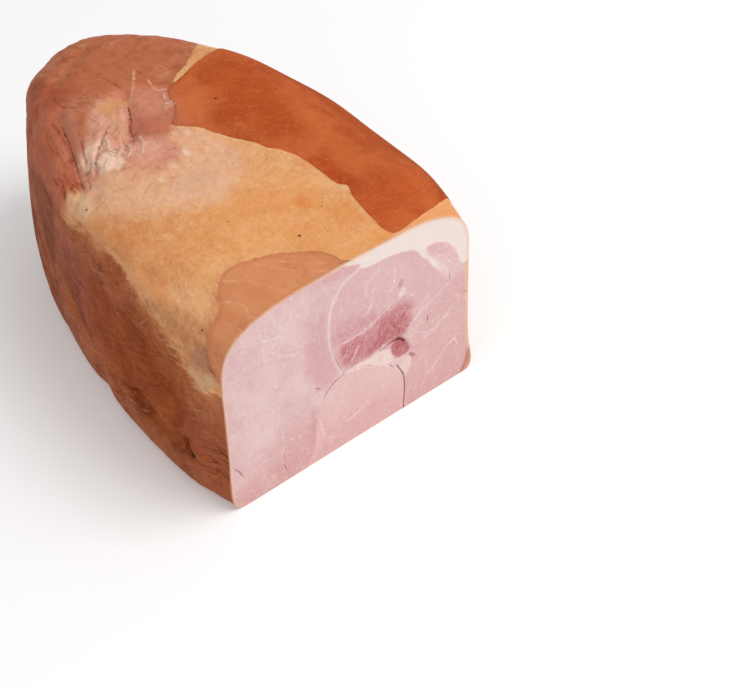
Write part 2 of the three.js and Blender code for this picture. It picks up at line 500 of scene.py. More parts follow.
# Outlines on the unrolled skin, by station and bearing.
RIND = skin_area(
    (2, 63.5), (8, 66.5), (14, 67.5), (25, 68), (38, 67.5), (45, 65.5), (50, 68), (62, 69),
    (74, 70), (84, 72), (92, 75), (98, 78.5), (106, 81), (114, 84.5), (120, 87.5), (128, 91),
    (136, 93.5), (142, 98), (148, 102.5), (154, 99), (160, 95), (168, 92.5), (175, 91), (181, 88),
    (184, 82), (187, 76), (191, 70), (194, 64), (199, 57), (204, 52), (212, 42), (216, 20),
    (212, -6), (190, -30), (110, -38), (46, -26), (26, 0), (18, 30), (9, 42), (4, 54),
)
GOLDEN = skin_area(
    (-8, 92), (5, 94), (15, 98), (22, 105), (29, 115), (33, 122), (35.5, 130), (33, 134),
    (28, 137), (20, 140), (16, 146), (12, 152), (6, 158), (-8, 160), (-8, 166), (8, 168),
    (20, 171), (30, 166), (42, 161), (60, 155.5), (70, 153), (82, 151), (100, 150), (116, 150),
    (134, 151.5), (150, 152.5), (158, 149.5), (156, 144), (148, 140), (140, 134), (132, 128),
    (122, 122), (121, 115), (128, 109), (138, 107), (146, 103), (150, 97), (160, 91), (175, 87),
    (182, 84.5), (188, 81), (193, 74), (202, 66), (214, 58), (222, 50), (226, 30), (224, 0),
    (190, -36), (110, -44), (40, -34), (16, -12), (-8, 8),
)
PATCH = skin_area(
    (-8, 92), (5, 94), (12, 96), (18, 102), (22, 105), (26, 110), (29, 115), (33, 122),
    (35.5, 128), (35, 132), (33, 134), (28, 137), (20, 140), (16, 146), (12, 152), (6, 158),
    (-8, 160),
)
SKIN_TINTS = (
    Tint("side_dusk", skin_area(
        (176, 150), (204, 140), (232, 140), (240, 156), (226, 176), (196, 186), (178, 172)),
        (122, 58, 38), 8.0, 0.55, 5.0, 9.0, 0.5),
    Tint("side_plum", skin_area(
        (126, 162), (134, 158), (152, 158), (166, 163), (168, 176), (158, 188), (140, 190),
        (127, 184), (123, 172)), (152, 78, 60), 6.0, 0.65, 5.0, 8.0, 0.4),
    Tint("side_rosy", skin_area(
        (-8, 158), (10, 166), (24, 172), (32, 182), (28, 196), (20, 212), (-8, 216)),
        (170, 94, 64), 6.0, 0.8, 4.0, 8.0, 0.4),
    Tint("side_tan", skin_area(
        (4, 168), (20, 172), (36, 166), (56, 158), (74, 152), (84, 154), (72, 164), (56, 172),
        (38, 182), (18, 184), (4, 178)), (190, 124, 82), 5.0, 0.6, 6.0, 7.0, 0.8),
    Tint("side_deep", skin_area(
        (30, 172), (48, 163), (66, 157), (96, 153), (122, 154), (126, 170), (124, 188), (100, 198),
        (64, 196), (40, 190)), (144, 64, 24), 7.0, 0.6, 5.0, 16.0, 0.4),
    Tint("side_foot", skin_area(
        (20, 207), (50, 205), (84, 206), (118, 203), (134, 200), (156, 200), (180, 204),
        (200, 210), (190, 222), (100, 218), (20, 218)), (176, 108, 78), 4.0, 0.55, 4.0, 7.0, 0.7),
    Tint("side_wisps", skin_area(
        (70, 156), (92, 152), (120, 152), (150, 155), (172, 160), (176, 170), (150, 164),
        (120, 163), (92, 164)), (184, 112, 78), 4.0, 0.5, 5.0, 6.0, 0.8),
    Tint("side_slant", skin_area(
        (160, 150), (172, 152), (178, 170), (186, 196), (178, 206), (168, 190), (164, 168)),
        (178, 104, 76), 5.0, 0.45, 4.0, 7.0, 0.6),
    Tint("far_rosy", skin_area(
        (150, 152), (158, 140), (176, 130), (200, 126), (236, 124), (246, 136), (232, 152),
        (190, 152), (166, 154)), (190, 106, 80), 5.0, 0.75, 4.0, 8.0, 0.5),
    Tint("far_fair", skin_area(
        (224, 121), (218, 128), (200, 134), (184, 140), (171, 140.5), (172, 134), (184, 129),
        (203, 123), (214, 120)), (212, 144, 114), 4.0, 0.55, 4.0, 7.0, 0.5),
    Tint("far_pink", skin_area(
        (112, 110), (120, 104), (146, 98), (158, 92), (178, 89), (192, 96), (192, 108), (178, 114),
        (162, 120), (150, 126), (132, 126), (114, 120)), (196, 108, 78), 4.5, 0.85, 4.0, 7.0,
        0.35),
    Tint("far_blush", skin_area(
        (164, 96), (178, 90), (194, 95), (206, 100), (200, 110), (184, 113), (168, 110)),
        (216, 142, 112), 5.0, 0.7, 4.0, 6.0, 0.4),
    Tint("lilac", skin_area(
        (114, 113), (124, 106), (140, 107), (149, 115), (143, 122), (130, 124), (117, 119)),
        (214, 152, 130), 4.0, 0.8, 5.0, 5.0, 0.45),
    Tint("far_web", skin_area(
        (126, 122), (138, 112), (150, 117), (166, 117), (182, 116), (196, 112), (200, 117),
        (186, 124), (174, 130), (168, 138), (156, 141), (146, 142), (134, 136)), (228, 168, 140),
        5.0, 0.85, 5.0, 6.0, 0.6),
    Tint("far_orange", skin_area(
        (192, 92), (204, 80), (216, 70), (228, 62), (250, 70), (262, 90), (250, 112), (226, 118),
        (204, 112)), (190, 108, 72), 8.0, 0.7, 5.0),
    Tint("far_red", skin_area(
        (216, 119), (236, 116), (250, 120), (250, 128), (234, 131), (218, 128)), (176, 74, 42),
        6.0, 0.5, 5.0, 9.0, 0.5),
    Tint("far_dusk", skin_area(
        (236, 150), (250, 130), (262, 120), (275, 132), (268, 160), (246, 176)), (150, 68, 42),
        8.0, 0.7, 5.0),
)
GOLDEN_TINTS = (
    Tint("near_amber", skin_area(
        (-8, 60), (-8, 94), (20, 104), (34, 122), (44, 140), (66, 132), (82, 112), (80, 92),
        (66, 78), (40, 72)), (230, 152, 84), 10.0, 0.6, 6.0, 12.0, 0.5),
    Tint("amber_strip", skin_area(
        (-8, 66), (4, 68), (12, 62), (20, 40), (24, 10), (14, -14), (-8, -14)), (236, 152, 86),
        4.0, 0.55, 4.0, 9.0, 0.3),
    Tint("far_pale", skin_area(
        (80, 110), (90, 98), (104, 90), (122, 90), (138, 94), (149, 101), (142, 107), (132, 112),
        (130, 118), (134, 126), (144, 132), (152, 138), (148, 145), (118, 142), (98, 134),
        (84, 122)), (234, 184, 152), 8.0, 0.85, 7.0, 9.0, 0.5),
    Tint("grey_rose", skin_area(
        (88, 118), (92, 110), (100, 105), (110, 108), (112, 116), (102, 122)), (216, 168, 142),
        6.0, 0.6, 5.0, 9.0, 0.4),
    Tint("orange_left", skin_area(
        (48, 141), (62, 137), (80, 138), (100, 141), (120, 144), (126, 149), (100, 149), (76, 150),
        (56, 149)), (220, 140, 84), 6.0, 0.6, 4.0),
    Tint("orange_blotch", skin_area(
        (45.5, 87), (48, 90), (53, 90), (56, 87), (54, 83.5), (49, 83)), (226, 134, 72), 2.5, 0.75,
        1.5, 5.0),
    Tint("wrinkled_tan", skin_area(
        (10, 148), (16, 145), (26, 146), (38, 148), (52, 150), (64, 154), (50, 159), (36, 162),
        (26, 167), (16, 164), (10, 156)), (186, 126, 84), 4.5, 0.8, 5.0, 7.0, 0.6),
    Tint("curled_cream", skin_area(
        (22, 141), (34, 138), (46, 141), (52, 145), (40, 147), (28, 146)), (230, 176, 128), 4.0,
        0.5, 4.0, 6.0, 0.6),
    Tint("folded_cream", skin_area(
        (130, 143), (140, 142.5), (151, 145), (157, 147), (152, 150), (140, 150.5), (130, 149.5)),
        (238, 198, 160), 2.5, 0.8, 3.0, 5.0, 0.4),
    Tint("tan_margin", skin_area(
        (66, 151), (84, 148), (110, 147), (136, 147), (152, 144), (160, 148), (150, 154),
        (116, 152), (84, 153), (66, 156)), (220, 162, 118), 3.0, 0.6, 3.0, 6.0, 0.5),
    Tint("grey_patch", skin_area(
        (8, 159), (9, 152), (15, 151), (21, 155), (22, 160), (14, 161)), (176, 122, 100), 1.8,
        0.8),
    Tint("web_patch", skin_area(
        (2, 160.5), (8, 164.5), (14, 168.5), (19, 171), (25, 168.5), (27.5, 164), (23, 162.3),
        (17, 163.3), (11, 160), (6, 158.5)), (204, 164, 130), 0.9, 0.85, 1.6, 5.0, 0.3),
)
TOP_TINTS = (
    Tint("cream_fleck", skin_area(
        (139, 129), (144, 126.5), (152, 127), (156, 130), (152, 133), (144, 134)), (244, 210, 184),
        2.4, 0.9, 4.5, 4.5, 0.35),
    Tint("cream_fold", skin_area(
        (156, 136), (159, 129), (165, 127), (168, 131), (166, 136), (160, 138)), (242, 202, 176),
        2.4, 0.9, 4.5, 4.5, 0.4),
    Tint("cream_ridge", skin_area(
        (146, 126), (156, 123), (168, 119.5), (178, 118.5), (182, 114), (178, 112.5), (168, 115.5),
        (156, 120.5), (147, 123)), (230, 168, 134), 2.2, 0.8, 3.5, 5.0, 0.5),
    Tint("yellow_fleck", skin_area(
        (178, 117), (186, 118.6), (194, 117), (195, 111), (190, 107), (184, 110), (179, 113)),
        (224, 156, 98), 2.2, 0.8, 3.5, 5.0, 0.4),
)
RIND_TINTS = (
    Tint("rind_deep", skin_area(
        (96, 68), (120, 74), (150, 74), (176, 68), (186, 58), (160, 54), (130, 58), (104, 62)),
        (174, 74, 31), 8.0, 0.65, 6.0, 14.0),
    Tint("rind_ruddy", skin_area(
        (48, 67), (62, 69), (76, 69), (72, 63), (58, 62), (46, 63)), (172, 62, 24), 3.0, 0.65, 2.0,
        14.0),
    Tint("rind_near", skin_area(
        (12, 66), (34, 66), (36, 52), (24, 46), (14, 52)), (181, 74, 32), 6.0, 0.55, 4.0, 14.0),
    Tint("rind_light", skin_area(
        (46, 58), (80, 61), (112, 58), (120, 53), (90, 50), (58, 50)), (200, 107, 55), 7.0, 0.6,
        5.0, 14.0),
    Tint("rind_far_light", skin_area(
        (136, 90), (148, 99), (166, 91), (178, 86), (180, 76), (156, 80)), (208, 114, 69), 6.0,
        0.7, 5.0, 14.0),
    # Darker, redder band low on the rind's right side, where it turns down and under: painted
    # shade.
    Tint("rind_low_shade", skin_area(
        (-10, 35), (40, 37), (90, 42), (140, 44), (180, 44), (205, 42), (230, 20), (230, -60),
        (110, -66), (-10, -56)), (158, 66, 27), 5.0, 0.75, 3.0, 14.0, 0.2),
    Tint("rind_back", skin_area(
        (60, 8), (120, 10), (180, 4), (176, -20), (110, -30), (60, -20)), (186, 92, 46), 12.0, 0.5,
        7.0, 16.0, 0.5),
)
SKIN_STRANDS = (
    # Dark red lines in the creases: partly their own darker colour, partly painted shade in the
    # furrows.
    Strands("dark_creases_and_shade", skin_lines(
        ((150, 142.8), (156, 141.8), (166, 139.4), (178, 137), (188, 135), (203, 132.8)),
        ((158, 148), (162, 146.8), (167, 145.6)),
        ((149, 135.4), (154, 133.6), (158, 131.4), (164, 127), (168.5, 123.6)),
        ((154, 119), (159, 117.6), (165.5, 115.6), (176, 111.2), (182.5, 109)),
    ), 0.45, (116, 40, 26), 0.85, 1.0, -0.6, 0.45, 0.45),
    Strands("faint_creases", skin_lines(
        ((138, 152.5), (150, 155), (164, 155.5), (178, 156)),
        ((220, 135.5), (228, 135), (238, 135)), ((190, 118), (208, 121.6), (228, 126.6)),
        ((32, 157.6), (39, 167), (44.5, 174), (54.5, 182), (50, 185)),
        ((46, 184.8), (40, 189), (33.5, 193.5)), ((25, 181.8), (24, 187), (22, 191)),
        ((156, 145.5), (168, 143), (186, 139.5), (206, 138), (228, 138)),
        ((150, 139), (160, 137), (172, 132.5), (184, 129.5)), ((142, 148), (150, 144), (158, 143)),
        ((196, 118), (208, 120), (222, 124), (234, 125)), ((186, 105), (204, 104), (230, 104.5)),
        ((60, 153.5), (74, 151.5), (90, 150.2), (112, 150.3), (132, 150.6)),
        ((90, 166), (100, 170), (112, 175)), ((60, 176), (72, 170), (88, 166)),
        ((216, 95), (214, 86), (216, 78)),
    ), 0.28, (142, 70, 42), 0.36, 0.8, -0.2, 0.4, 0.8),
    Strands("far_furrows", skin_lines(
        ((288, 95), (272, 106), (255, 107), (222, 105), (196, 103.2)),
        ((252, 62), (246, 71), (237, 80), (230, 90), (233, 100)),
    ), 0.9, (158, 82, 54), 0.22, 1.6, -0.4, 1.2, 0.7),
    # Dark brown lines in the furrows down the left side: partly their own darker brown, partly
    # painted shade in the furrows.
    Strands("side_furrows_and_shade", skin_lines(
        ((34, 201), (37, 198.2), (50, 198.2), (64, 198), (82, 198.6), (107, 201.5)),
        ((0, 192), (10, 193), (21, 193.6)), ((-1, 195.4), (8, 195.3), (18, 196.6)),
        ((-1, 197.8), (9, 198), (20, 200.2)), ((-1, 200.3), (7, 200.3), (16, 200.6)),
        ((0, 203), (8, 202.4), (14, 202.6)), ((3, 205), (11.5, 204.3), (21, 204.5)),
        ((26, 203), (29, 202.4), (31, 201.8)), ((100, 206), (118, 203), (128, 202)),
        ((176, 212), (190, 210), (202, 208)),
    ), 0.4, (80, 34, 18), 0.75, 1.1, -0.45, 0.4, 0.5),
    Strands("side_fibres", skin_lines(
        ((56, 164.6), (50, 166.6), (41, 166.3)), ((36, 166), (28, 164.3), (25, 166)),
        ((161, 207.8), (144, 205), (130, 203.3)), ((94, 204.6), (84, 203)),
        ((80, 203.6), (72, 202)), ((18, 189.6), (8, 189.2)), ((15, 197.6), (4, 196.8)),
        ((17, 202.6), (6, 201.6)), ((22, 207), (10, 206.6)), ((112, 176), (122, 171)),
        ((82, 170), (96, 167)), ((62, 160), (70, 164), (82, 163)), ((104, 158), (118, 161)),
        ((148, 196), (160, 192), (170, 190)),
    ), 0.42, (204, 140, 98), 0.5, 1.2, 0.12, 0.6, 0.7),
    Strands("fat_folds", skin_lines(
        ((88, 137.6), (97, 138.6), (108, 141), (118, 142)),
        ((124, 133.4), (127, 136.6), (131, 140)), ((127, 142), (129, 145), (131, 149), (136, 148)),
        ((146, 150), (149, 148.6), (153, 146)), ((102, 125.6), (105, 129), (109, 132)),
        ((62, 140), (76, 141), (88, 139.5)), ((28, 148.5), (42, 150), (56, 152)),
        ((26, 153), (38, 154.5), (50, 156)), ((98, 85), (99.5, 92), (102, 98)),
        ((110, 95), (114, 98), (118, 101)), ((119, 90), (121, 95), (124, 99)),
        ((92, 100), (98, 105), (104, 109)), ((84, 128), (92, 131), (99, 131)),
        ((110, 118), (114, 125), (112, 130)),
    ), 0.4, (204, 124, 76), 0.4, 1.2, -0.1, 0.8, 0.8),
    # Reddish bands along and beside the creases: painted shade next to the furrows.
    Strands("red_crease_shade", skin_lines(
        ((151, 142.5), (160, 142.6), (168, 140.6), (180, 137.6), (196, 135), (212, 134)),
        ((153, 145), (160, 144.6), (168, 143.5)),
        ((157, 149.4), (162, 148), (167, 147.4), (176, 147)),
        ((146, 140.5), (156, 138), (166, 134), (176, 131.5)),
        ((172, 141.5), (184, 140), (198, 140.5), (210, 138.6)),
        ((206, 123.5), (218, 126.5), (232, 126)),
        ((150, 123), (156, 119.5), (164, 116), (172, 113)), ((222, 146), (232, 142), (244, 134)),
    ), 0.8, (158, 62, 42), 0.7, 1.6, -0.3, 0.8, 0.6),
    Strands("pale_webs", skin_lines(
        ((187, 106), (194, 101), (204, 95.5), (213, 91)),
        ((182, 89), (186, 93), (192, 92), (198, 91)),
        ((148, 125.5), (158, 122.3), (168, 118.5), (178, 117)),
        ((162, 133), (168, 128), (176, 122), (182, 119.5)),
    ), 0.7, (232, 176, 140), 0.75, 1.6, 0.35, 0.9, 0.6),
    Strands("flap", skin_lines(
        ((153, 121.6), (160, 120), (168, 117.6), (176, 114.4), (182.5, 111.8)),
    ), 1.5, (216, 148, 118), 0.6, 1.2, 0.8, 0.9, 0.4),
    Strands("fold_lips", skin_lines(
        ((149, 137), (154, 135.2), (158.6, 133), (164.6, 128.6), (169.4, 125)),
        ((151, 126.4), (156, 127), (160, 125.6), (165, 124.8)),
        ((146, 132), (150, 129.4), (154, 130)),
    ), 0.8, (242, 202, 180), 0.7, 1.4, 0.7, 0.6, 0.5),
    # Short pale strokes on the wet folds: painted highlights (glints), on folds that are also
    # raised a little.
    Strands("wet_fold_glints", skin_lines(
        ((166.5, 97.5), (165.8, 95.6), (165.4, 93.6)), ((169.5, 96), (168.6, 92.6)),
        ((175, 93.4), (178.6, 92.2)), ((143, 124.5), (146, 122), (151, 121.5)),
        ((147, 127), (151, 124), (156, 123)), ((140, 120), (146, 117), (152, 116)),
        ((152, 134.5), (156, 134)),
    ), 0.5, (246, 206, 186), 0.75, 1.0, 0.6, 0.5, 0.5),
    Strands("fine_scratches", skin_lines(
        ((169, 109), (170.4, 104), (171.6, 100.4)), ((161, 108), (163.4, 103), (165, 98.4)),
        ((156, 105.4), (158, 101), (159.5, 97.7)), ((165.5, 113), (159.5, 108.6)),
        ((178, 106), (180, 101)), ((151, 112), (155, 107)),
    ), 0.3, (226, 156, 130), 0.55, 0.9, 0.3, 0.4, 0.6),
    Strands("patch_seams", skin_lines(
        ((35, 123.5), (28, 122), (22, 118.5), (14, 113.5), (8, 110), (4, 104), (0, 100)),
        ((31, 133.5), (24, 129.5), (18, 127), (12, 124.5), (6, 122), (-1, 119)),
        ((21, 138), (15, 135.5), (10, 135), (5, 136), (-1, 134)),
        ((24, 115), (17, 109), (12, 105), (7, 99)), ((12, 142), (6, 141), (-1, 140)),
    ), 0.45, (232, 172, 134), 0.55, 1.2, -0.15, 0.7, 0.7),
)
WET = skin_area(
    (136, 100), (150, 94), (178, 88), (192, 96), (196, 112), (184, 122), (170, 136), (156, 138),
    (140, 130), (134, 118),
)
# Dark specks and milky spots: the station, the bearing and the radius of each.
SPECKS = (
    (32, 100, 0.95), (152, 78, 0.8), (103, 61, 0.45), (42, 81, 0.5), (47, 78, 0.45),
    (72, 132, 0.45), (20, 148, 0.6), (134, 145.5, 0.65), (131, 110, 0.5), (146, 102, 0.4),
    (51, 195, 0.9), (28, 203, 1.3), (8, 120, 0.4), (63, 118, 0.3), (48, 117, 0.35),
    (25, 88, 0.35), (1, 92, 0.6), (88, 99, 0.3), (108, 156, 0.45), (14, 176, 0.4),
)
MILKY_SPOTS = (
    (138, 99.7, 1.8), (113, 123, 1.8), (118, 116.4, 1.8), (124, 108.5, 3.0),
)


def cut_area(*places: Place) -> Route:
    """A closed line on the cut, through places in mm right of and above its lower left corner."""
    return Route(places, closed=True)


def cut_lines(*lines: tuple[Place, ...]) -> tuple[Route, ...]:
    """Several open lines on the cut."""
    return tuple(Route(places) for places in lines)


FAT = cut_area(
    (77, 145), (78, 139), (84, 136.2), (88, 135), (89, 132.5), (92, 130), (100, 129), (108, 128.5),
    (115, 127.5), (121, 126), (126, 124.5), (130, 121.5), (134, 116), (138, 111.5), (141, 107.5),
    (144, 103), (147, 99), (148.5, 97.5), (148.5, 99.5), (147, 103), (144, 107.5), (140.5, 112),
    (137.5, 115.5), (137.5, 118.5), (140, 120.3), (144, 120.4), (148, 118.8), (153, 116),
    (158, 111.5), (161.5, 106), (163.5, 101), (165.5, 95), (168, 92.3), (172, 92), (190, 92),
    (190, 150),
)
OVAL = cut_area(
    (50, -4), (53, 16), (54.5, 32), (57, 45), (61, 51), (66, 55), (73, 57.3), (80, 57.2),
    (86, 56.5), (92, 55), (98, 52), (104, 48.5), (109, 46), (114, 42), (118, 38), (121, 32),
    (122.3, 24), (122.5, 10), (122, -4),
)
DARK_MUSCLE = cut_area(
    (75, 83), (80, 84), (88, 83.6), (96, 85), (104, 89), (110, 91.3), (116, 92), (122, 90),
    (125.5, 85), (126, 78), (124, 71.5), (120, 66.5), (112, 65), (104, 63.5), (98, 62), (90, 61.5),
    (82, 62.5), (77, 65.5), (73.5, 71), (73, 78),
)
RED_MUSCLE = cut_area(
    (112, 60), (116, 61.5), (120, 60.5), (124, 57), (126.3, 52), (126, 48.2), (122, 46.5),
    (117, 47.2), (114, 50.5), (112, 55),
)
SMALL_MUSCLE = cut_area(
    (136.5, 115.5), (137, 118.5), (140, 120.3), (144, 120.4), (152, 116.8), (158, 111.5),
    (162, 104.5), (165, 96), (166, 92), (160, 87.5), (154, 93.5), (149, 100), (143, 108),
)
WHITE_PATCH = cut_area(
    (77, 59.8), (84, 61.2), (90, 60.6), (96, 60.6), (102, 61.6), (107, 59.2), (110, 56.5),
    (112.3, 53), (113.2, 49), (111, 47.2), (105, 48.8), (98, 52.8), (92, 55.5), (84, 57.5),
)
VOID = cut_area(
    (110, 62.2), (114, 63), (117.5, 63.6), (119.5, 62.2), (122, 59.6), (124, 56), (121.4, 57.4),
    (118.6, 60), (115, 61.5),
)
CUT_TINTS = (
    Tint("pink_low", cut_area(
        (-12, -10), (-12, 14), (14, 26), (44, 40), (70, 34), (110, 24), (150, 30), (188, 34),
        (188, -10)), (210, 150, 146), 14.0, 0.8, 5.0, 20.0),
    Tint("right_pink", cut_area(
        (124, -6), (125, 40), (130, 60), (140, 72), (158, 82), (172, 90), (188, 86), (188, -6)),
        (216, 165, 165), 5.0, 0.85, 3.0),
    Tint("band_upper", cut_area(
        (52, 110), (57, 115), (63, 110), (64.5, 92), (67, 80), (72, 66), (66, 58), (54, 62),
        (49, 80)), (211, 157, 163), 5.0, 0.85, 3.0),
    Tint("band_lower", cut_area(
        (52, 44), (56, 44), (60, 34), (62, 20), (67, 8), (58, 4), (52, 16), (50, 32)),
        (210, 154, 158), 4.0, 0.85, 2.5),
    Tint("middle_muscle", cut_area(
        (88, 130.5), (80, 127.5), (73, 121), (68.5, 112), (67, 100), (67.5, 86), (70, 76),
        (74, 64), (100, 62), (118, 64), (127, 66), (138, 75), (150, 79), (160, 86), (168, 92),
        (153, 94), (146, 101), (138, 112), (130, 121.5), (120, 126), (104, 129)), (219, 172, 175),
        1.2, 0.9, 1.0),
    Tint("middle_pale", cut_area(
        (90, 118), (100, 124), (114, 122), (124, 114), (128, 104), (118, 108), (104, 112)),
        (225, 182, 183), 6.0, 0.6, 3.0),
    Tint("above_dark", cut_area(
        (70, 96), (80, 100), (94, 95), (106, 90), (98, 86.5), (86, 84.5), (74, 85), (69, 88)),
        (203, 136, 142), 5.0, 0.8, 4.0, 6.0, 0.4),
    Tint("dark_muscle", cut_area(
        (74, 81), (79, 82.8), (88, 82.6), (96, 84.2), (104, 87), (112, 89.4), (120, 90),
        (126, 86.5), (128, 79), (127, 70.5), (123, 64.5), (114, 63), (104, 61.8), (98, 61.2),
        (90, 61.2), (82, 62.5), (77.5, 65.5), (74.5, 71), (73.5, 77)), (196, 112, 118), 4.4, 0.94,
        4.5, 6.0, 0.25),
    Tint("dark_left", cut_area(
        (74, 80), (79, 83.5), (88, 82), (90, 74), (84, 65), (77, 66), (73, 73)), (186, 92, 100),
        5.0, 0.6, 3.5, 6.0, 0.3),
    Tint("dark_right", cut_area(
        (94, 65), (98, 72), (104, 79), (110, 82), (117, 80), (123, 72), (124, 66), (120, 63.5),
        (110, 62.5), (100, 62.5)), (170, 72, 76), 6.0, 0.5, 5.0, 5.0, 0.6),
    Tint("oval", OVAL, (228, 184, 182), 0.8, 0.9, 0.6),
    Tint("oval_low", cut_area(
        (54, -6), (56, 14), (72, 24), (92, 28), (110, 22), (121, 14), (122, -6)), (217, 164, 162),
        9.0, 0.7, 4.0, 12.0),
    Tint("under_fat", cut_area(
        (62, 137), (70, 138.6), (80, 138), (88, 134.5), (86, 131.8), (76, 131.5), (66, 133.5)),
        (215, 160, 161), 1.6, 0.85, 1.5, 6.0),
    Tint("small_muscle", SMALL_MUSCLE, (228, 188, 186), 1.4, 0.85, 1.5, 5.0),
    Tint("small_dark", cut_area(
        (136.6, 116), (139, 119.5), (145, 119.6), (152, 116), (157, 110), (150, 109), (142, 112)),
        (212, 158, 160), 3.0, 0.6, 2.0, 6.0),
    Tint("white_patch", WHITE_PATCH, (238, 214, 206), 0.7, 0.95, 0.8, 5.0),
    Tint("white_band", cut_area(
        (98, 61.8), (104, 63.4), (110, 64.2), (112, 63), (104, 61.6)), (236, 206, 200), 0.8, 0.7,
        0.8, 4.0),
    Tint("white_foot", cut_area(
        (118.5, 40), (124, 43.5), (128, 42), (127, 34), (124.5, 29), (122, 33)), (236, 206, 199),
        1.2, 0.8, 1.2, 4.0),
    Tint("red_muscle", RED_MUSCLE, (186, 96, 102), 1.2, 0.92, 1.5, 4.0, 0.2),
    Tint("red_deep", cut_area(
        (113, 57), (116, 60.5), (121, 59), (125, 54), (121, 52.5), (116, 54)), (160, 62, 66), 3.0,
        0.5, 2.5, 4.0, 0.5),
    Tint("little_muscle", cut_area(
        (126.5, 52), (130, 51), (134, 48), (134.5, 45.5), (130.5, 45.5), (127.5, 48)),
        (211, 164, 169), 0.8, 0.85, 0.5, 4.0),
    Tint("dusky_spot", cut_area(
        (125.5, 45), (127.5, 45.6), (130.5, 42.5), (131, 40.8), (128.5, 41.2)), (150, 88, 86), 0.6,
        0.9, 0.4, 4.0),
    Tint("fat_spot", cut_area(
        (116.8, 95.5), (118, 98.2), (121, 99), (123.3, 98), (122, 94.4), (118.8, 93.8)),
        (240, 218, 212), 0.8, 0.9, 0.6, 4.0),
    Tint("red_spot", cut_area(
        (116.5, 104), (118, 107), (120, 107), (122.4, 104), (120, 101.5), (117.5, 101.5)),
        (192, 112, 118), 1.0, 0.8, 0.8, 4.0),
    Tint("white_fat", FAT, (240, 224, 217), 0.9, 1.0, 1.4, 5.0, 0.08),
    Tint("fat_streaks", cut_area(
        (132, 122), (138, 112), (144, 103), (150, 95), (156, 88), (160, 87), (157, 93), (152, 99),
        (146, 108), (141, 115), (136, 121)), (241, 216, 210), 2.0, 0.7, 2.5, 3.5, 0.7),
    Tint("skin_edge", cut_area(
        (169.5, 93), (169.5, 84), (171, 70), (172.4, 54), (173.6, 38), (175.4, 22), (190, 18),
        (190, 94)), (234, 194, 160), 1.0, 0.85, 0.8, 5.0, 0.5),
    Tint("skin_lip", cut_area(
        (176.5, 20), (173, 10), (168.5, 1), (166, -8), (190, -8), (190, 24)), (184, 108, 78), 1.6,
        0.85, 1.0, 4.0),
    # The small hole by the dark muscle: its dark red is painted shade in the hollow, which is also
    # sunk.
    Tint("void_shade", VOID, (124, 36, 30), 0.4, 0.95, 0.3, 3.0),
)
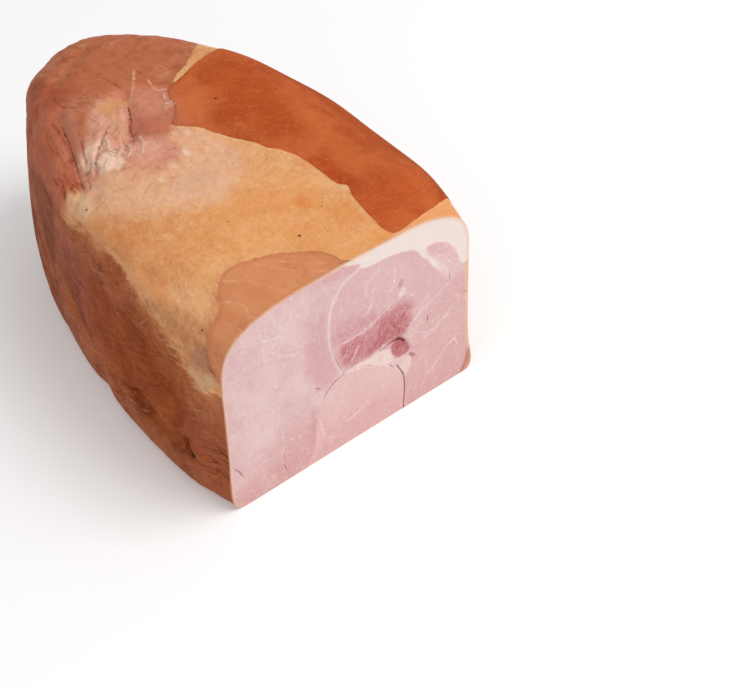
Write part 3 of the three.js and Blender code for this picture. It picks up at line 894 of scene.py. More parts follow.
CUT_STRANDS = (
    Strands("thick_seam", cut_lines(
        ((89, 132), (84, 129.8), (80, 128.6), (76, 126.6), (72, 122), (69, 117), (67, 112),
         (66, 106), (65.5, 100), (65.6, 94), (66, 88)),
    ), 0.9, (240, 216, 213), 0.8, 1.0, -0.12, 0.9, 0.3),
    Strands("seams", cut_lines(
        ((66, 88), (67, 82), (69, 75), (71, 69), (73.4, 63), (75.2, 58)),
        ((75, 84), (80, 83.2), (88, 83.6), (95, 84.7), (100, 86.7), (106, 89.2), (112, 92),
         (118, 93.4)),
        ((125, 66), (131, 71), (137, 75), (143, 77), (150, 79.8), (157, 84), (161, 86.5),
         (166, 90)), ((110, 57.5), (104, 60), (98, 61)), ((114, 117), (114.4, 112), (113.6, 107)),
        ((143, 18), (149, 24), (155, 31), (160, 34), (166, 36.5)),
        ((78, 21), (84, 22), (88, 24), (92, 27.5)), ((82, 66), (84.5, 70), (87, 75)),
        ((109, 46), (114, 42), (118, 38)),
    ), 0.6, (241, 218, 213), 0.72, 1.3, -0.1, 0.8, 0.5),
    Strands("veins", cut_lines(
        ((19, 119), (23, 117), (30, 115.5), (36, 112), (41, 107)),
        ((22, 110), (27, 106), (31, 101), (37, 98), (42.5, 95.5)),
        ((42.5, 95.5), (36, 92.5), (31, 90)), ((9, 121), (14, 119), (19, 119), (20, 123.5)),
        ((43, 124), (46, 121), (50, 117), (53, 124)), ((20, 111), (21, 104), (26, 102)),
        ((28, 131), (29, 125), (33, 121)), ((62, 131), (68, 128), (75, 127)),
        ((163, 36), (166, 29), (163, 22)), ((128, 64), (133, 58), (143, 54), (152, 58), (160, 63)),
        ((134, 50), (146, 52), (158, 59)), ((30, 40), (31, 31), (28, 22), (30, 12)),
        ((138, 12), (142, 22), (140, 30)), ((104, 100), (112, 104), (119, 105), (126, 109)),
        ((120, 99.5), (122, 105), (119, 110), (119, 118)), ((146, 110), (152, 106), (158, 98)),
        ((141, 107), (148, 103), (155, 96)), ((90, 94), (96, 99), (98, 106)),
        ((92, 112), (93, 118), (100, 120)), ((54, 42), (58, 30), (60, 18)),
        ((64, 16), (72, 12), (80, 12)), ((92, 27.5), (94, 24.5)), ((132, 33), (136, 36)),
    ), 0.4, (243, 222, 218), 0.55, 1.2, -0.05, 0.6, 0.6),
    # Dark red splits of the cut: painted shade in the gaps, which are also sunk a little.
    Strands("oval_split_shade", cut_lines(
        ((117, 40.5), (119.4, 36), (121.4, 31.5), (122.2, 28.5)),
        ((122.6, 26.5), (123, 20), (122.7, 12), (122.2, 2)),
    ), 0.45, (120, 44, 38), 0.9, 0.7, -0.4, 0.3, 0.2),
    # Dark red cracks: painted shade in the gaps, which are also sunk a little.
    Strands("splits", cut_lines(
        ((61, 50.5), (63.4, 53.6), (67, 56.4), (70.5, 58), (73, 58.6)), ((76, 62), (75.8, 58)),
        ((104, 60.4), (108, 61.8), (113, 62.2), (118, 61.6), (122.4, 58)),
        ((117, 71.5), (118.4, 66.5)), ((157.2, 90), (157.3, 86.6)), ((140.6, 66.4), (140.4, 62.8)),
        ((-3.6, 35.5), (-1.4, 32), (0.8, 27)), ((111, 44.5), (114, 41.6)),
        ((30.2, 15), (31, 12.4)), ((170.6, 68.8), (174.6, 68.6)),
    ), 0.32, (142, 46, 40), 0.85, 0.7, -0.25, 0.3, 0.3),
    Strands("faint_splits", cut_lines(
        ((105, 85.8), (103.8, 80), (102.8, 74), (100.5, 68.5), (100, 66.8)),
        ((103, 70), (98, 66.5), (94, 66)), ((106, 80), (110, 79), (113.8, 74)),
        ((113.8, 74), (116, 70), (116.4, 66)), ((106, 103), (105.6, 99)),
        ((69.6, 76), (71.6, 70), (73.6, 65)), ((125.4, 82), (121, 78), (117, 72)),
        ((56, 60.5), (59, 58)), ((88, 57.4), (93, 55.6), (98, 52.6)),
    ), 0.34, (150, 66, 66), 0.65, 0.9, -0.12, 0.4, 0.55),
)
# The tints of the cut that lie over the marbling, by name.
OVER_MARBLING = ("dark_right", "red_muscle", "red_deep", "white_fat", "skin_edge", "skin_lip",
                 "void_shade")


class Mark(Enum):
    """The values that the meshes carry for the materials, by attribute name."""

    STATION = "station"
    BEARING = "bearing"
    BELOW_SKIN = "below_skin"
    RIND = "rind"
    GOLDEN = "golden"
    PATCH = "patch"
    WET = "wet"
    SPECK = "speck"
    MILKY = "milky"
    UPWARD = "upward"


# ---- Node trees ----
Socket = bpy.types.NodeSocket
Feed = Socket | float | tuple[float, ...]


class Lie(Enum):
    """How a pattern is drawn out: a turn about each axis in degrees, then factors along them."""

    EVEN = ((0, 0, 0), (1.0, 1.0, 1.0))
    ALONG = ((0, 0, 6), (1.0, 0.28, 1.0))
    ACROSS = ((0, 0, -24), (0.35, 1.0, 1.0))
    FIBRES = ((24, 0, 0), (1.0, 0.16, 1.0))


@dataclass(frozen=True)
class Mottle:
    """Clouds of one colour in a surface."""

    tone: Rgb
    share: float  # how much of what lies under them they cover
    size: float  # mm, of the largest clouds
    start: float  # the value of the noise at which they start
    full: float  # and at which they cover in full
    detail: float = 4.0  # how many finer layers the noise has
    rough: float = 0.6  # how strong those are
    warp: float = 0.0  # how far the noise is warped
    lie: Lie = Lie.EVEN


@dataclass(frozen=True)
class Coat:
    """The colours of one kind of surface: its own, then clouds, tints, and clouds over them."""

    tone: Rgb
    under: tuple[Mottle, ...]
    tints: tuple[Tint, ...] = ()
    over: tuple[Mottle, ...] = ()


def linear(value: int) -> float:
    """One channel of a display colour, from 0 to 255, as a linear one from 0 to 1."""
    share = value / 255.0
    return share / 12.92 if share <= 0.04045 else ((share + 0.055) / 1.055) ** 2.4


def colour(red: int, green: int, blue: int) -> tuple[float, float, float, float]:
    """A display colour as the linear, opaque one that a shader takes."""
    return linear(red), linear(green), linear(blue), 1.0


class Painter:
    """Writes the node tree of one material."""

    def __init__(self, name: str) -> None:
        """Starts a material with only its shader.

        Args:
            name: the material's name.
        """
        self.material = bpy.data.materials.new(name)
        self.material.use_nodes = True
        self.tree = self.material.node_tree
        self.shader = self.tree.nodes["Principled BSDF"]
        self.object = self.tree.nodes.new("ShaderNodeTexCoord").outputs["Object"]
        self.marks: dict[str, Socket] = {}

    def feed(self, socket: Socket, value: Feed) -> None:
        """Links a socket to another, or sets its own value.

        Args:
            socket: the socket.
            value: the other socket, or the value.
        """
        if isinstance(value, Socket):
            self.tree.links.new(value, socket)
        else:
            socket.default_value = value

    def node(self, kind: str, **values: Feed) -> bpy.types.Node:
        """A new node.

        Args:
            kind: its type, without ShaderNode before it.
            values: what feeds its sockets, named with underscores for spaces.

        Returns:
            The node.
        """
        node = self.tree.nodes.new(f"ShaderNode{kind}")
        for name, value in values.items():
            self.feed(node.inputs[name.replace("_", " ")], value)
        return node

    def sum(self, operation: str, a: Feed, b: Feed = 0.0, third: Feed = 0.0) -> Socket:
        """One step of arithmetic.

        Args:
            operation: the Math node's name for it.
            a: its first value.
            b: its second value.
            third: its third value, where it has one.

        Returns:
            The result.
        """
        node = self.node("Math")
        node.operation = operation
        for socket, value in zip(node.inputs, (a, b, third)):
            self.feed(socket, value)
        return node.outputs[0]

    def times(self, a: Feed, b: Feed) -> Socket:
        """One value times another."""
        return self.sum("MULTIPLY", a, b)

    def mark(self, name: str) -> Socket:
        """A value that the mesh carries.

        Args:
            name: its attribute's name.

        Returns:
            The value, read once for each material.
        """
        if name not in self.marks:
            node = self.node("Attribute")
            node.attribute_name = name
            self.marks[name] = node.outputs["Fac"]
        return self.marks[name]

    def ease(self, value: Feed, low: float, high: float) -> Socket:
        """Eases a value from 0 to 1.

        Args:
            value: the value.
            low: where it gives 0.
            high: where it gives 1, which may be below low.

        Returns:
            The eased value.
        """
        node = self.node("MapRange", Value=value, From_Min=low, From_Max=high)
        node.interpolation_type = "SMOOTHSTEP"
        return node.outputs["Result"]

    def blend(self, share: Feed, a: Feed, b: Feed) -> Socket:
        """A value between two.

        Args:
            share: how much of b it has.
            a: the first value.
            b: the second value.

        Returns:
            The value between them.
        """
        node = self.node("Mix")
        for place, value in ((0, share), (2, a), (3, b)):
            self.feed(node.inputs[place], value)
        return node.outputs[0]

    def mix(self, share: Feed, a: Feed, b: Feed) -> Socket:
        """A colour between two.

        Args:
            share: how much of b it has.
            a: the first colour.
            b: the second colour.

        Returns:
            The colour between them.
        """
        node = self.node("Mix")
        node.data_type = "RGBA"
        for place, value in ((0, share), (6, a), (7, b)):
            self.feed(node.inputs[place], value)
        return node.outputs[2]

    def cover(self, tone: Feed, within: Feed, over: Rgb, share: float) -> Socket:
        """A colour with a share of another laid over it, within a part from 0 to 1."""
        return self.mix(self.times(within, share), tone, colour(*over))

    def drawn_out(self, lie: Lie) -> Socket:
        """Object coordinates, drawn out.

        Args:
            lie: how the pattern lies.

        Returns:
            The new coordinates.
        """
        if lie is Lie.EVEN:
            return self.object
        turns, factors = lie.value
        turned = self.node("Mapping", Vector=self.object,
                           Rotation=tuple(math.radians(angle) for angle in turns))
        return self.node("Mapping", Vector=turned.outputs[0], Scale=factors).outputs[0]

    def noise(self, size: float, detail: float = 3.0, rough: float = 0.55,
              warp: float = 0.0, lie: Lie = Lie.EVEN) -> Socket:
        """Cloudy noise, from 0 to 1, with a middle of 0.5.

        Args:
            size: the size of its largest features, in mm.
            detail: how many finer layers it has.
            rough: how strong they are.
            warp: how far it is warped.
            lie: how it is drawn out.

        Returns:
            The noise.
        """
        node = self.node("TexNoise", Vector=self.drawn_out(lie), Scale=1.0 / (size * MM),
                         Detail=detail, Roughness=rough, Distortion=warp)
        return node.outputs["Fac"]

    def sway(self, size: float, detail: float = 4.0, rough: float = 0.6,
             warp: float = 0.0, lie: Lie = Lie.EVEN) -> Socket:
        """Cloudy noise about 0, from -0.5 to 0.5, with the same values as noise takes."""
        return self.sum("SUBTRACT", self.noise(size, detail, rough, warp, lie), 0.5)

    def cell_edges(self, size: float, where: Socket) -> Socket:
        """Distances from the edges of a pattern of cells.

        Args:
            size: the size of a cell, in mm.
            where: its coordinates.

        Returns:
            The distances, as a share of the size.
        """
        node = self.node("TexVoronoi", Vector=where, Scale=1.0 / (size * MM))
        node.feature = "DISTANCE_TO_EDGE"
        return node.outputs["Distance"]

    def wobbled(self, size: float, reach: float) -> Socket:
        """Object coordinates pushed about by noise.

        Args:
            size: the size of the noise, in mm.
            reach: how far it pushes, in mm.

        Returns:
            The new coordinates.
        """
        clouds = self.node("TexNoise", Vector=self.object, Scale=1.0 / (size * MM), Detail=2.0)
        node = self.node("VectorMath")
        node.operation = "MULTIPLY_ADD"
        pushes = (clouds.outputs["Color"], (2 * reach * MM,) * 3, self.object)
        for socket, value in zip(node.inputs, pushes):
            self.feed(socket, value)
        return node.outputs[0]

    def ragged(self, name: str, size: float, reach: float) -> Socket:
        """A mark's signed distance, moved up to reach mm either way by noise of a size in mm."""
        return self.sum("ADD", self.mark(name), self.times(self.sway(size), 2.0 * reach))

    def lines(self, size: float, width: float, warp: float, lie: Lie) -> Socket:
        """1 on thin winding lines, where a noise crosses its middle within a width, else 0."""
        crossing = self.sway(size, 2.0, 0.5, warp, lie)
        return self.ease(self.sum("ABSOLUTE", crossing), width, 0.0)

    def mottled(self, tone: Feed, mottle: Mottle) -> Socket:
        """A colour with clouds laid over it."""
        value = self.noise(mottle.size, mottle.detail, mottle.rough, mottle.warp, mottle.lie)
        return self.cover(tone, self.ease(value, mottle.start, mottle.full), mottle.tone,
                          mottle.share)

    def tinted(self, tone: Feed, tint: Tint) -> Socket:
        """A colour with a tint's patch laid over it.

        Args:
            tone: the colour.
            tint: the tint.

        Returns:
            The new colour.
        """
        within = self.ease(self.ragged(tint.name, tint.size, tint.reach), -tint.soft, tint.soft)
        worn = self.ease(self.noise(tint.size * WEAR_SIZE, 4.0, 0.62, 0.5), 0.38, 0.66)
        kept = self.sum("MULTIPLY_ADD", worn, -tint.patchy * tint.share, third=tint.share)
        return self.mix(self.times(within, kept), tone, colour(*tint.tone))

    def coated(self, coat: Coat) -> Socket:
        """The colour of a whole coat.

        Args:
            coat: the coat.

        Returns:
            The colour.
        """
        tone: Feed = colour(*coat.tone)
        for mottle in coat.under:
            tone = self.mottled(tone, mottle)
        for tint in coat.tints:
            tone = self.tinted(tone, tint)
        for mottle in coat.over:
            tone = self.mottled(tone, mottle)
        return tone

    def line(self, strands: Strands) -> Socket:
        """Where some strands lie.

        Args:
            strands: the strands.

        Returns:
            1 on them and 0 beside them.
        """
        frayed = self.sum("ADD", self.sum("ABSOLUTE", self.mark(strands.side_name)),
                          self.times(self.sway(FRAY_SIZE, 3.0), 2.0 * strands.fray))
        thin = self.ease(frayed, strands.half + strands.soft, strands.half - strands.soft)
        near = self.ease(self.mark(strands.name), *(strands.half + end for end in STRAND_END))
        gap = self.ease(self.noise(GAP_SIZE, 3.0, 0.6), 0.58, 0.44)
        kept = self.sum("MULTIPLY_ADD", gap, -strands.broken, third=1.0)
        return self.times(self.times(thin, near), kept)

    def stranded(self, tone: Feed, strands: Strands) -> Socket:
        """A colour with strands laid over it."""
        return self.cover(tone, self.line(strands), strands.tone, strands.share)

    def bump(self, height: Feed, depth: float, strength: float,
             over: Socket | None = None) -> Socket:
        """A normal from a height.

        Args:
            height: the height, from 0 to 1.
            depth: how deep a height of 1 is, in mm.
            strength: how much of it counts.
            over: a normal that it adds to.

        Returns:
            The normal.
        """
        node = self.node("Bump", Height=height, Distance=depth * MM, Strength=strength)
        if over is not None:
            self.feed(node.inputs["Normal"], over)
        return node.outputs["Normal"]

    def set(self, **inputs: Feed) -> None:
        """Feeds the shader's sockets, named with underscores for spaces."""
        for name, value in inputs.items():
            self.feed(self.shader.inputs[name.replace("_", " ")], value)


RIND_DARK = (172, 77, 38)
RIND_LIGHT = (209, 120, 70)
GOLD_LIGHT = (242, 198, 156)
PATCH_DEEP = (196, 118, 78)
BROWN_DARK = (124, 56, 27)
BROWN_LIGHT = (194, 120, 82)
TOP_LIGHT = (222, 160, 128)
RIND_COAT = Coat((193, 96, 51), (
    Mottle(RIND_DARK, 1.0, 30.0, 0.36, 0.66, 3.0, 0.6, 0.4),
    Mottle(RIND_LIGHT, 0.5, 9.0, 0.50, 0.76, 5.0, 0.65),
    Mottle(RIND_DARK, 0.5, 4.0, 0.50, 0.72, 4.0, 0.62, 0.6, Lie.ALONG),
), RIND_TINTS, (
    Mottle(RIND_DARK, 0.6, 4.5, 0.54, 0.74, 4.0, 0.65, 0.5),
    Mottle(RIND_LIGHT, 0.4, 3.0, 0.48, 0.30, 4.0, 0.66, 0.8),
    Mottle(RIND_LIGHT, 0.3, 1.5, 0.54, 0.72, 2.0, 0.5),
))
FAT_COAT = Coat((234, 174, 120), (
    Mottle((222, 150, 94), 1.0, 26.0, 0.34, 0.68, 4.0, 0.6, 0.5),
    Mottle(GOLD_LIGHT, 0.45, 6.0, 0.46, 0.74, 5.0, 0.62, 0.8),
), GOLDEN_TINTS, (
    Mottle(BROWN_LIGHT, 0.26, 2.4, 0.52, 0.70, 4.0, 0.66, 0.7),
    Mottle(GOLD_LIGHT, 0.30, 2.4, 0.47, 0.30, 4.0, 0.66, 0.7),
))
SIDE_COAT = Coat((167, 88, 45), (
    Mottle(BROWN_DARK, 1.0, 26.0, 0.35, 0.68, 4.0, 0.6, 0.5),
    Mottle((172, 94, 56), 0.55, 17.0, 0.52, 0.70, 5.0, 0.65, 0.8),
    Mottle(BROWN_DARK, 0.35, 4.0, 0.52, 0.74, 5.0, 0.62, 0.4, Lie.FIBRES),
    Mottle(BROWN_LIGHT, 0.3, 4.0, 0.46, 0.28, 5.0, 0.62, 0.4, Lie.FIBRES),
    Mottle(BROWN_DARK, 0.4, 7.0, 0.53, 0.68, 6.0, 0.66, 0.9),
    Mottle(BROWN_LIGHT, 0.35, 7.0, 0.47, 0.34, 6.0, 0.66, 0.9),
))
TOP_COAT = Coat((192, 114, 80), (
    Mottle((172, 94, 62), 1.0, 9.0, 0.45, 0.70, 5.0, 0.62, 0.6),
    Mottle(TOP_LIGHT, 0.45, 9.0, 0.46, 0.28, 5.0, 0.62, 0.6),
))
PATCH_COAT = Coat((213, 141, 98), (
    Mottle(PATCH_DEEP, 0.4, 12.0, 0.38, 0.66, 4.0, 0.55),
    Mottle(PATCH_DEEP, 0.35, 3.4, 0.50, 0.70, 5.0, 0.66, 0.6),
))
CUT_COAT = Coat((228, 194, 191), (
    Mottle((220, 178, 179), 1.0, 24.0, 0.36, 0.66, 4.0, 0.55, 0.4),
), tuple(tint for tint in CUT_TINTS if tint.name not in OVER_MARBLING), (
    Mottle((211, 156, 160), 0.45, 7.0, 0.52, 0.74, 4.0, 0.6, 0.8),
))


@dataclass(frozen=True)
class SkinFinish:
    """The smoked outside: golden fat, leathery rind and lean that is brown down the sides."""

    rind_line: Rgb = (240, 190, 140)
    milky: Rgb = (246, 214, 196)
    wrinkle: Rgb = (184, 112, 66)
    cut_edge: Rgb = (238, 196, 164)
    speck: Rgb = (70, 32, 20)
    roughness: float = 0.5
    rind_rougher: float = 0.25
    specular: float = 0.03
    wet_gloss: float = 0.6
    wrinkle_depth: float = 1.8  # mm, as are the other depths
    fibre_depth: float = 1.6
    rind_step: float = 0.7
    pore_depth: float = 0.18

    def material(self, name: str) -> bpy.types.Material:
        """Paints the skin.

        Args:
            name: the material's name.

        Returns:
            The material.
        """
        paint = Painter(name)
        tone = self.lean(paint)
        for tint in SKIN_TINTS:
            tone = paint.tinted(tone, tint)
        tone = paint.cover(tone, self.fibre_lines(paint), BROWN_DARK, 0.4)
        golden = self.golden(paint)
        tone = paint.mix(golden, tone, self.fat(paint))
        for tint in TOP_TINTS:
            tone = paint.tinted(tone, tint)
        patch = paint.ease(paint.ragged(Mark.PATCH.value, 7.0, 0.9), -0.35, 0.35)
        tone = paint.mix(patch, tone, self.lean_patch(paint))
        edge = paint.ragged(Mark.RIND.value, 12.0, 1.0)
        on_rind = paint.ease(edge, -0.3, 0.3)
        tone = paint.mix(paint.times(self.rind_line_share(paint, edge), golden), tone,
                         colour(*self.rind_line))
        tone = paint.mix(on_rind, tone, paint.coated(RIND_COAT))
        for strands in SKIN_STRANDS:
            tone = paint.stranded(tone, strands)
        by_cut = paint.ease(paint.mark(Mark.STATION.value), 2.6, 0.2)
        tone = paint.cover(tone, by_cut, self.cut_edge, 0.55)
        specks = paint.ease(paint.mark(Mark.SPECK.value), 0.5, 0.1)
        tone = paint.cover(tone, specks, self.speck, 0.85)
        wet = paint.ease(paint.ragged(Mark.WET.value, 8.0, 4.0), -3.0, 3.0)
        dull = paint.times(paint.noise(7.0, 4.0), 0.16)
        roughness = paint.sum("ADD", self.roughness - 0.08, dull)
        roughness = paint.sum("MULTIPLY_ADD", on_rind, self.rind_rougher, third=roughness)
        paint.set(Base_Color=tone, Roughness=roughness, Specular_IOR_Level=self.specular,
                  IOR=1.4, Normal=self.normal(paint, on_rind, golden),
                  Coat_Weight=paint.times(wet, self.wet_gloss), Coat_Roughness=0.15,
                  Subsurface_Weight=0.05, Subsurface_Radius=(1.0, 0.35, 0.2),
                  Subsurface_Scale=0.0015)
        return paint.material

    def golden(self, paint: Painter) -> Socket:
        """Where the golden fat lies: crisp by the domed end, fading in by the cut's left.

        Args:
            paint: the material's painter.

        Returns:
            1 on the fat and 0 on the lean.
        """
        ragged = paint.ragged(Mark.GOLDEN.value, 9.0, 2.6)
        ragged = paint.sum("ADD", ragged, paint.times(paint.sway(2.6, 3.0), 2.4))
        crisp = paint.ease(ragged, -0.9, 0.9)
        torn = paint.sum("MULTIPLY_ADD", paint.sway(7.0, 5.0, 0.68, 0.8, Lie.ALONG), 26.0,
                         third=ragged)
        faded = paint.ease(torn, -6.0, 6.0)
        station, bearing = paint.mark(Mark.STATION.value), paint.mark(Mark.BEARING.value)
        near_left = paint.times(paint.ease(station, 90.0, 50.0),
                                paint.ease(bearing, 120.0, 140.0))
        far_top = paint.times(paint.ease(station, 100.0, 112.0),
                              paint.ease(bearing, 96.0, 104.0))
        return paint.blend(paint.sum("MAXIMUM", near_left, far_top), crisp, faded)

    def rind_line_share(self, paint: Painter, edge: Socket) -> Socket:
        """A broken pale line along the rind's edge.

        Args:
            paint: the material's painter.
            edge: how far places lie inside the rind, in mm.

        Returns:
            How much of it shows.
        """
        line = paint.times(paint.ease(edge, -1.7, -0.7), paint.ease(edge, 0.4, -0.2))
        broken = paint.ease(paint.noise(9.0, 4.0, 0.6), 0.40, 0.60)
        share = paint.blend(paint.ease(paint.mark(Mark.STATION.value), 70.0, 110.0), 0.3, 0.8)
        return paint.times(paint.times(line, broken), share)

    def fat(self, paint: Painter) -> Socket:
        """Golden fat: amber, peach and tan, with milky spots and fine brown wrinkles.

        Args:
            paint: the material's painter.

        Returns:
            Its colour.
        """
        tone = paint.coated(FAT_COAT)
        milky = paint.ease(paint.ragged(Mark.MILKY.value, 4.0, 3.5), 2.2, -2.2)
        tone = paint.cover(tone, milky, self.milky, 0.55)
        streaks = paint.ease(paint.noise(6.0, 5.0, 0.65, 0.7, Lie.ALONG), 0.50, 0.70)
        tone = paint.cover(tone, paint.times(streaks, self.folded(paint)), BROWN_LIGHT, 0.28)
        return paint.cover(tone, self.wrinkle_lines(paint), self.wrinkle, 0.28)

    def folded(self, paint: Painter) -> Socket:
        """Where the fat is wrinkled: to the left and by the domed end.

        Args:
            paint: the material's painter.

        Returns:
            1 where it is in full and 0 where it is smooth.
        """
        left = paint.ease(paint.mark(Mark.BEARING.value), 112.0, 146.0)
        far = paint.ease(paint.mark(Mark.STATION.value), 60.0, 120.0)
        return paint.sum("MAXIMUM", left, paint.times(far, 0.7))

    def wrinkle_lines(self, paint: Painter) -> Socket:
        """Fine broken lines that run along the ham, and across it by the rind.

        Args:
            paint: the material's painter.

        Returns:
            1 on the lines and 0 between them.
        """
        long = paint.lines(7.0, 0.03, 1.1, Lie.ALONG)
        short = paint.lines(8.0, 0.026, 1.1, Lie.ACROSS)
        by_rind = paint.times(paint.ease(paint.mark(Mark.RIND.value), -34.0, -14.0),
                              paint.ease(paint.mark(Mark.STATION.value), 70.0, 100.0))
        both = paint.sum("MAXIMUM", paint.times(long, self.folded(paint)),
                         paint.times(short, by_rind))
        return paint.times(both, paint.ease(paint.noise(12.0, 3.0), 0.40, 0.62))

    def lean(self, paint: Painter) -> Socket:
        """Smoked lean: brown and streaked down the sides, ruddier over the domed end.

        Args:
            paint: the material's painter.

        Returns:
            Its colour.
        """
        veil = paint.times(paint.lines(8.0, 0.035, 1.2, Lie.ALONG),
                           paint.ease(paint.noise(11.0, 3.0), 0.46, 0.62))
        top = paint.cover(paint.coated(TOP_COAT), veil, TOP_LIGHT, 0.4)
        return paint.mix(self.upward(paint), paint.coated(SIDE_COAT), top)

    def upward(self, paint: Painter) -> Socket:
        """Where the skin faces up, as a share with a cloudy edge."""
        cloudy = paint.sum("MULTIPLY_ADD", paint.sway(16.0), 0.8, paint.mark(Mark.UPWARD.value))
        return paint.ease(cloudy, 0.0, 1.0)

    def fibre_lines(self, paint: Painter) -> Socket:
        """Thin dark lines along the fibres of the sides."""
        lines = paint.lines(5.0, 0.016, 0.8, Lie.FIBRES)
        return paint.times(lines, paint.ease(paint.noise(14.0, 3.0), 0.44, 0.64))

    def lean_patch(self, paint: Painter) -> Socket:
        """Smooth lean beside the cut, darker towards its edge."""
        edge = paint.ease(paint.mark(Mark.PATCH.value), 3.5, 0.3)
        return paint.cover(paint.coated(PATCH_COAT), edge, PATCH_DEEP, 0.5)

    def normal(self, paint: Painter, on_rind: Socket, golden: Socket) -> Socket:
        """Wrinkles on the fat, fibres on the lean and pores on the rind.

        Args:
            paint: the material's painter.
            on_rind: where the rind lies.
            golden: where the golden fat lies.

        Returns:
            The normal.
        """
        bare = paint.sum("SUBTRACT", 1.0, on_rind)
        wrinkle = paint.sum("ADD", paint.noise(5.0, 6.0, 0.62, 0.9),
                            paint.times(self.wrinkle_lines(paint), -0.07))
        wrinkled = paint.times(paint.times(wrinkle, golden), bare)
        over = paint.bump(wrinkled, self.wrinkle_depth, 0.8)
        fibre = paint.sum("ADD", paint.noise(3.2, 6.0, 0.65, 0.5, Lie.FIBRES),
                          paint.times(self.fibre_lines(paint), -0.4))
        fibre = paint.times(fibre, paint.sum("SUBTRACT", 1.0, golden))
        fibre = paint.times(fibre, paint.blend(self.upward(paint), 1.0, 0.3))
        over = paint.bump(paint.times(fibre, bare), self.fibre_depth, 0.9, over)
        for strands in SKIN_STRANDS:
            over = paint.bump(paint.line(strands), strands.rise, 0.8, over)
        step = paint.ease(paint.ragged(Mark.RIND.value, 12.0, 1.0), -0.5, 0.5)
        over = paint.bump(step, self.rind_step, 0.8, over)
        return paint.bump(paint.noise(1.1, 3.0, 0.5), self.pore_depth, 0.6, over)


@dataclass(frozen=True)
class CutFinish:
    """The cut: pink muscles, white fat, thin pale seams and dark splits, whose darkness is painted
    shade.
    """

    vein: Rgb = (241, 220, 214)
    rim: Rgb = (238, 188, 156)
    roughness: float = 0.42
    specular: float = 0.15
    grain_depth: float = 0.3  # mm

    def material(self, name: str) -> bpy.types.Material:
        """Paints the cut.

        Args:
            name: the material's name.

        Returns:
            The material.
        """
        paint = Painter(name)
        tone = paint.mix(self.marbling(paint), paint.coated(CUT_COAT), colour(*self.vein))
        for tint in CUT_TINTS:
            if tint.name in OVER_MARBLING:
                tone = paint.tinted(tone, tint)
        for strands in CUT_STRANDS:
            tone = paint.stranded(tone, strands)
        rim = paint.ease(paint.ragged(Mark.BELOW_SKIN.value, 6.0, 1.2), 3.4, 0.2)
        tone = paint.cover(tone, rim, self.rim, 0.5)
        dull = paint.times(paint.noise(4.0, 3.0), 0.12)
        paint.set(Base_Color=tone, Roughness=paint.sum("ADD", self.roughness - 0.06, dull),
                  IOR=1.4, Specular_IOR_Level=self.specular, Normal=self.normal(paint),
                  Subsurface_Weight=0.1, Subsurface_Radius=(1.0, 0.4, 0.3),
                  Subsurface_Scale=0.002)
        return paint.material

    def marbling(self, paint: Painter) -> Socket:
        """Fine pale grain and sparse veins.

        Args:
            paint: the material's painter.

        Returns:
            How much of them shows.
        """
        where = paint.wobbled(9.0, 4.0)
        net = paint.ease(paint.cell_edges(13.0, where), 0.032, 0.006)
        some = paint.ease(paint.noise(18.0, 2.0), 0.50, 0.62)
        net = paint.times(paint.times(net, some), 0.42)
        fine = paint.ease(paint.cell_edges(5.0, where), 0.07, 0.01)
        few = paint.ease(paint.noise(13.0, 3.0), 0.50, 0.68)
        fine = paint.times(paint.times(fine, few), 0.36)
        flecks = paint.times(paint.ease(paint.noise(5.0, 4.0, 0.68, 1.2), 0.50, 0.74), 0.6)
        grain = paint.times(paint.ease(paint.noise(1.3, 3.0, 0.6), 0.34, 0.72), 0.25)
        pale = paint.sum("MAXIMUM", paint.sum("MAXIMUM", net, fine), flecks)
        return paint.sum("MAXIMUM", pale, grain)

    def normal(self, paint: Painter) -> Socket:
        """Fine grain, with the seams and splits sunk.

        Args:
            paint: the material's painter.

        Returns:
            The normal.
        """
        height = paint.sum("ADD", paint.noise(2.4, 5.0, 0.6),
                           paint.times(paint.noise(0.8, 2.0), 0.3))
        over = paint.bump(height, self.grain_depth, 0.5)
        for strands in CUT_STRANDS:
            over = paint.bump(paint.line(strands), strands.rise, 0.7, over)
        return over


@dataclass(frozen=True)
class InsideFinish:
    """Where the fat cap and the lean meet, which is hidden."""

    tone: Rgb
    fair: Rgb = (240, 220, 212)
    roughness: float = 0.5

    def material(self, name: str) -> bpy.types.Material:
        """Paints the hidden faces, plainly and a little cloudy.

        Args:
            name: the material's name.

        Returns:
            The material.
        """
        paint = Painter(name)
        clouds = paint.noise(12.0, 3.0)
        paint.set(Base_Color=paint.cover(colour(*self.tone), clouds, self.fair, 0.3),
                  Roughness=self.roughness)
        return paint.material


# ---- Meshes ----
RELIEF_SPREAD = 1.1  # mm beyond a strand's half width over which the skin is moved
RELIEF_GAIN = 1.5  # how much higher the mesh raises strands than their material
CUT_SPREAD = 0.5  # mm, as the first, on the cut
RIND_RISE = 0.8  # mm that the rind stands out
PATCH_SUNK = 0.4  # mm that the patch of bare lean lies deeper
CUT_SINKS_BY = 8.0  # mm behind the cut within which a vertex can belong to it
BEARING_ROWS = 721  # how finely the uneven steps of the bearings are summed up
STATION_ROWS = 800  # and those of the stations


class Slot(Enum):
    """The three materials of a piece, by place in its list."""

    SKIN = 0
    CUT = 1
    INSIDE = 2


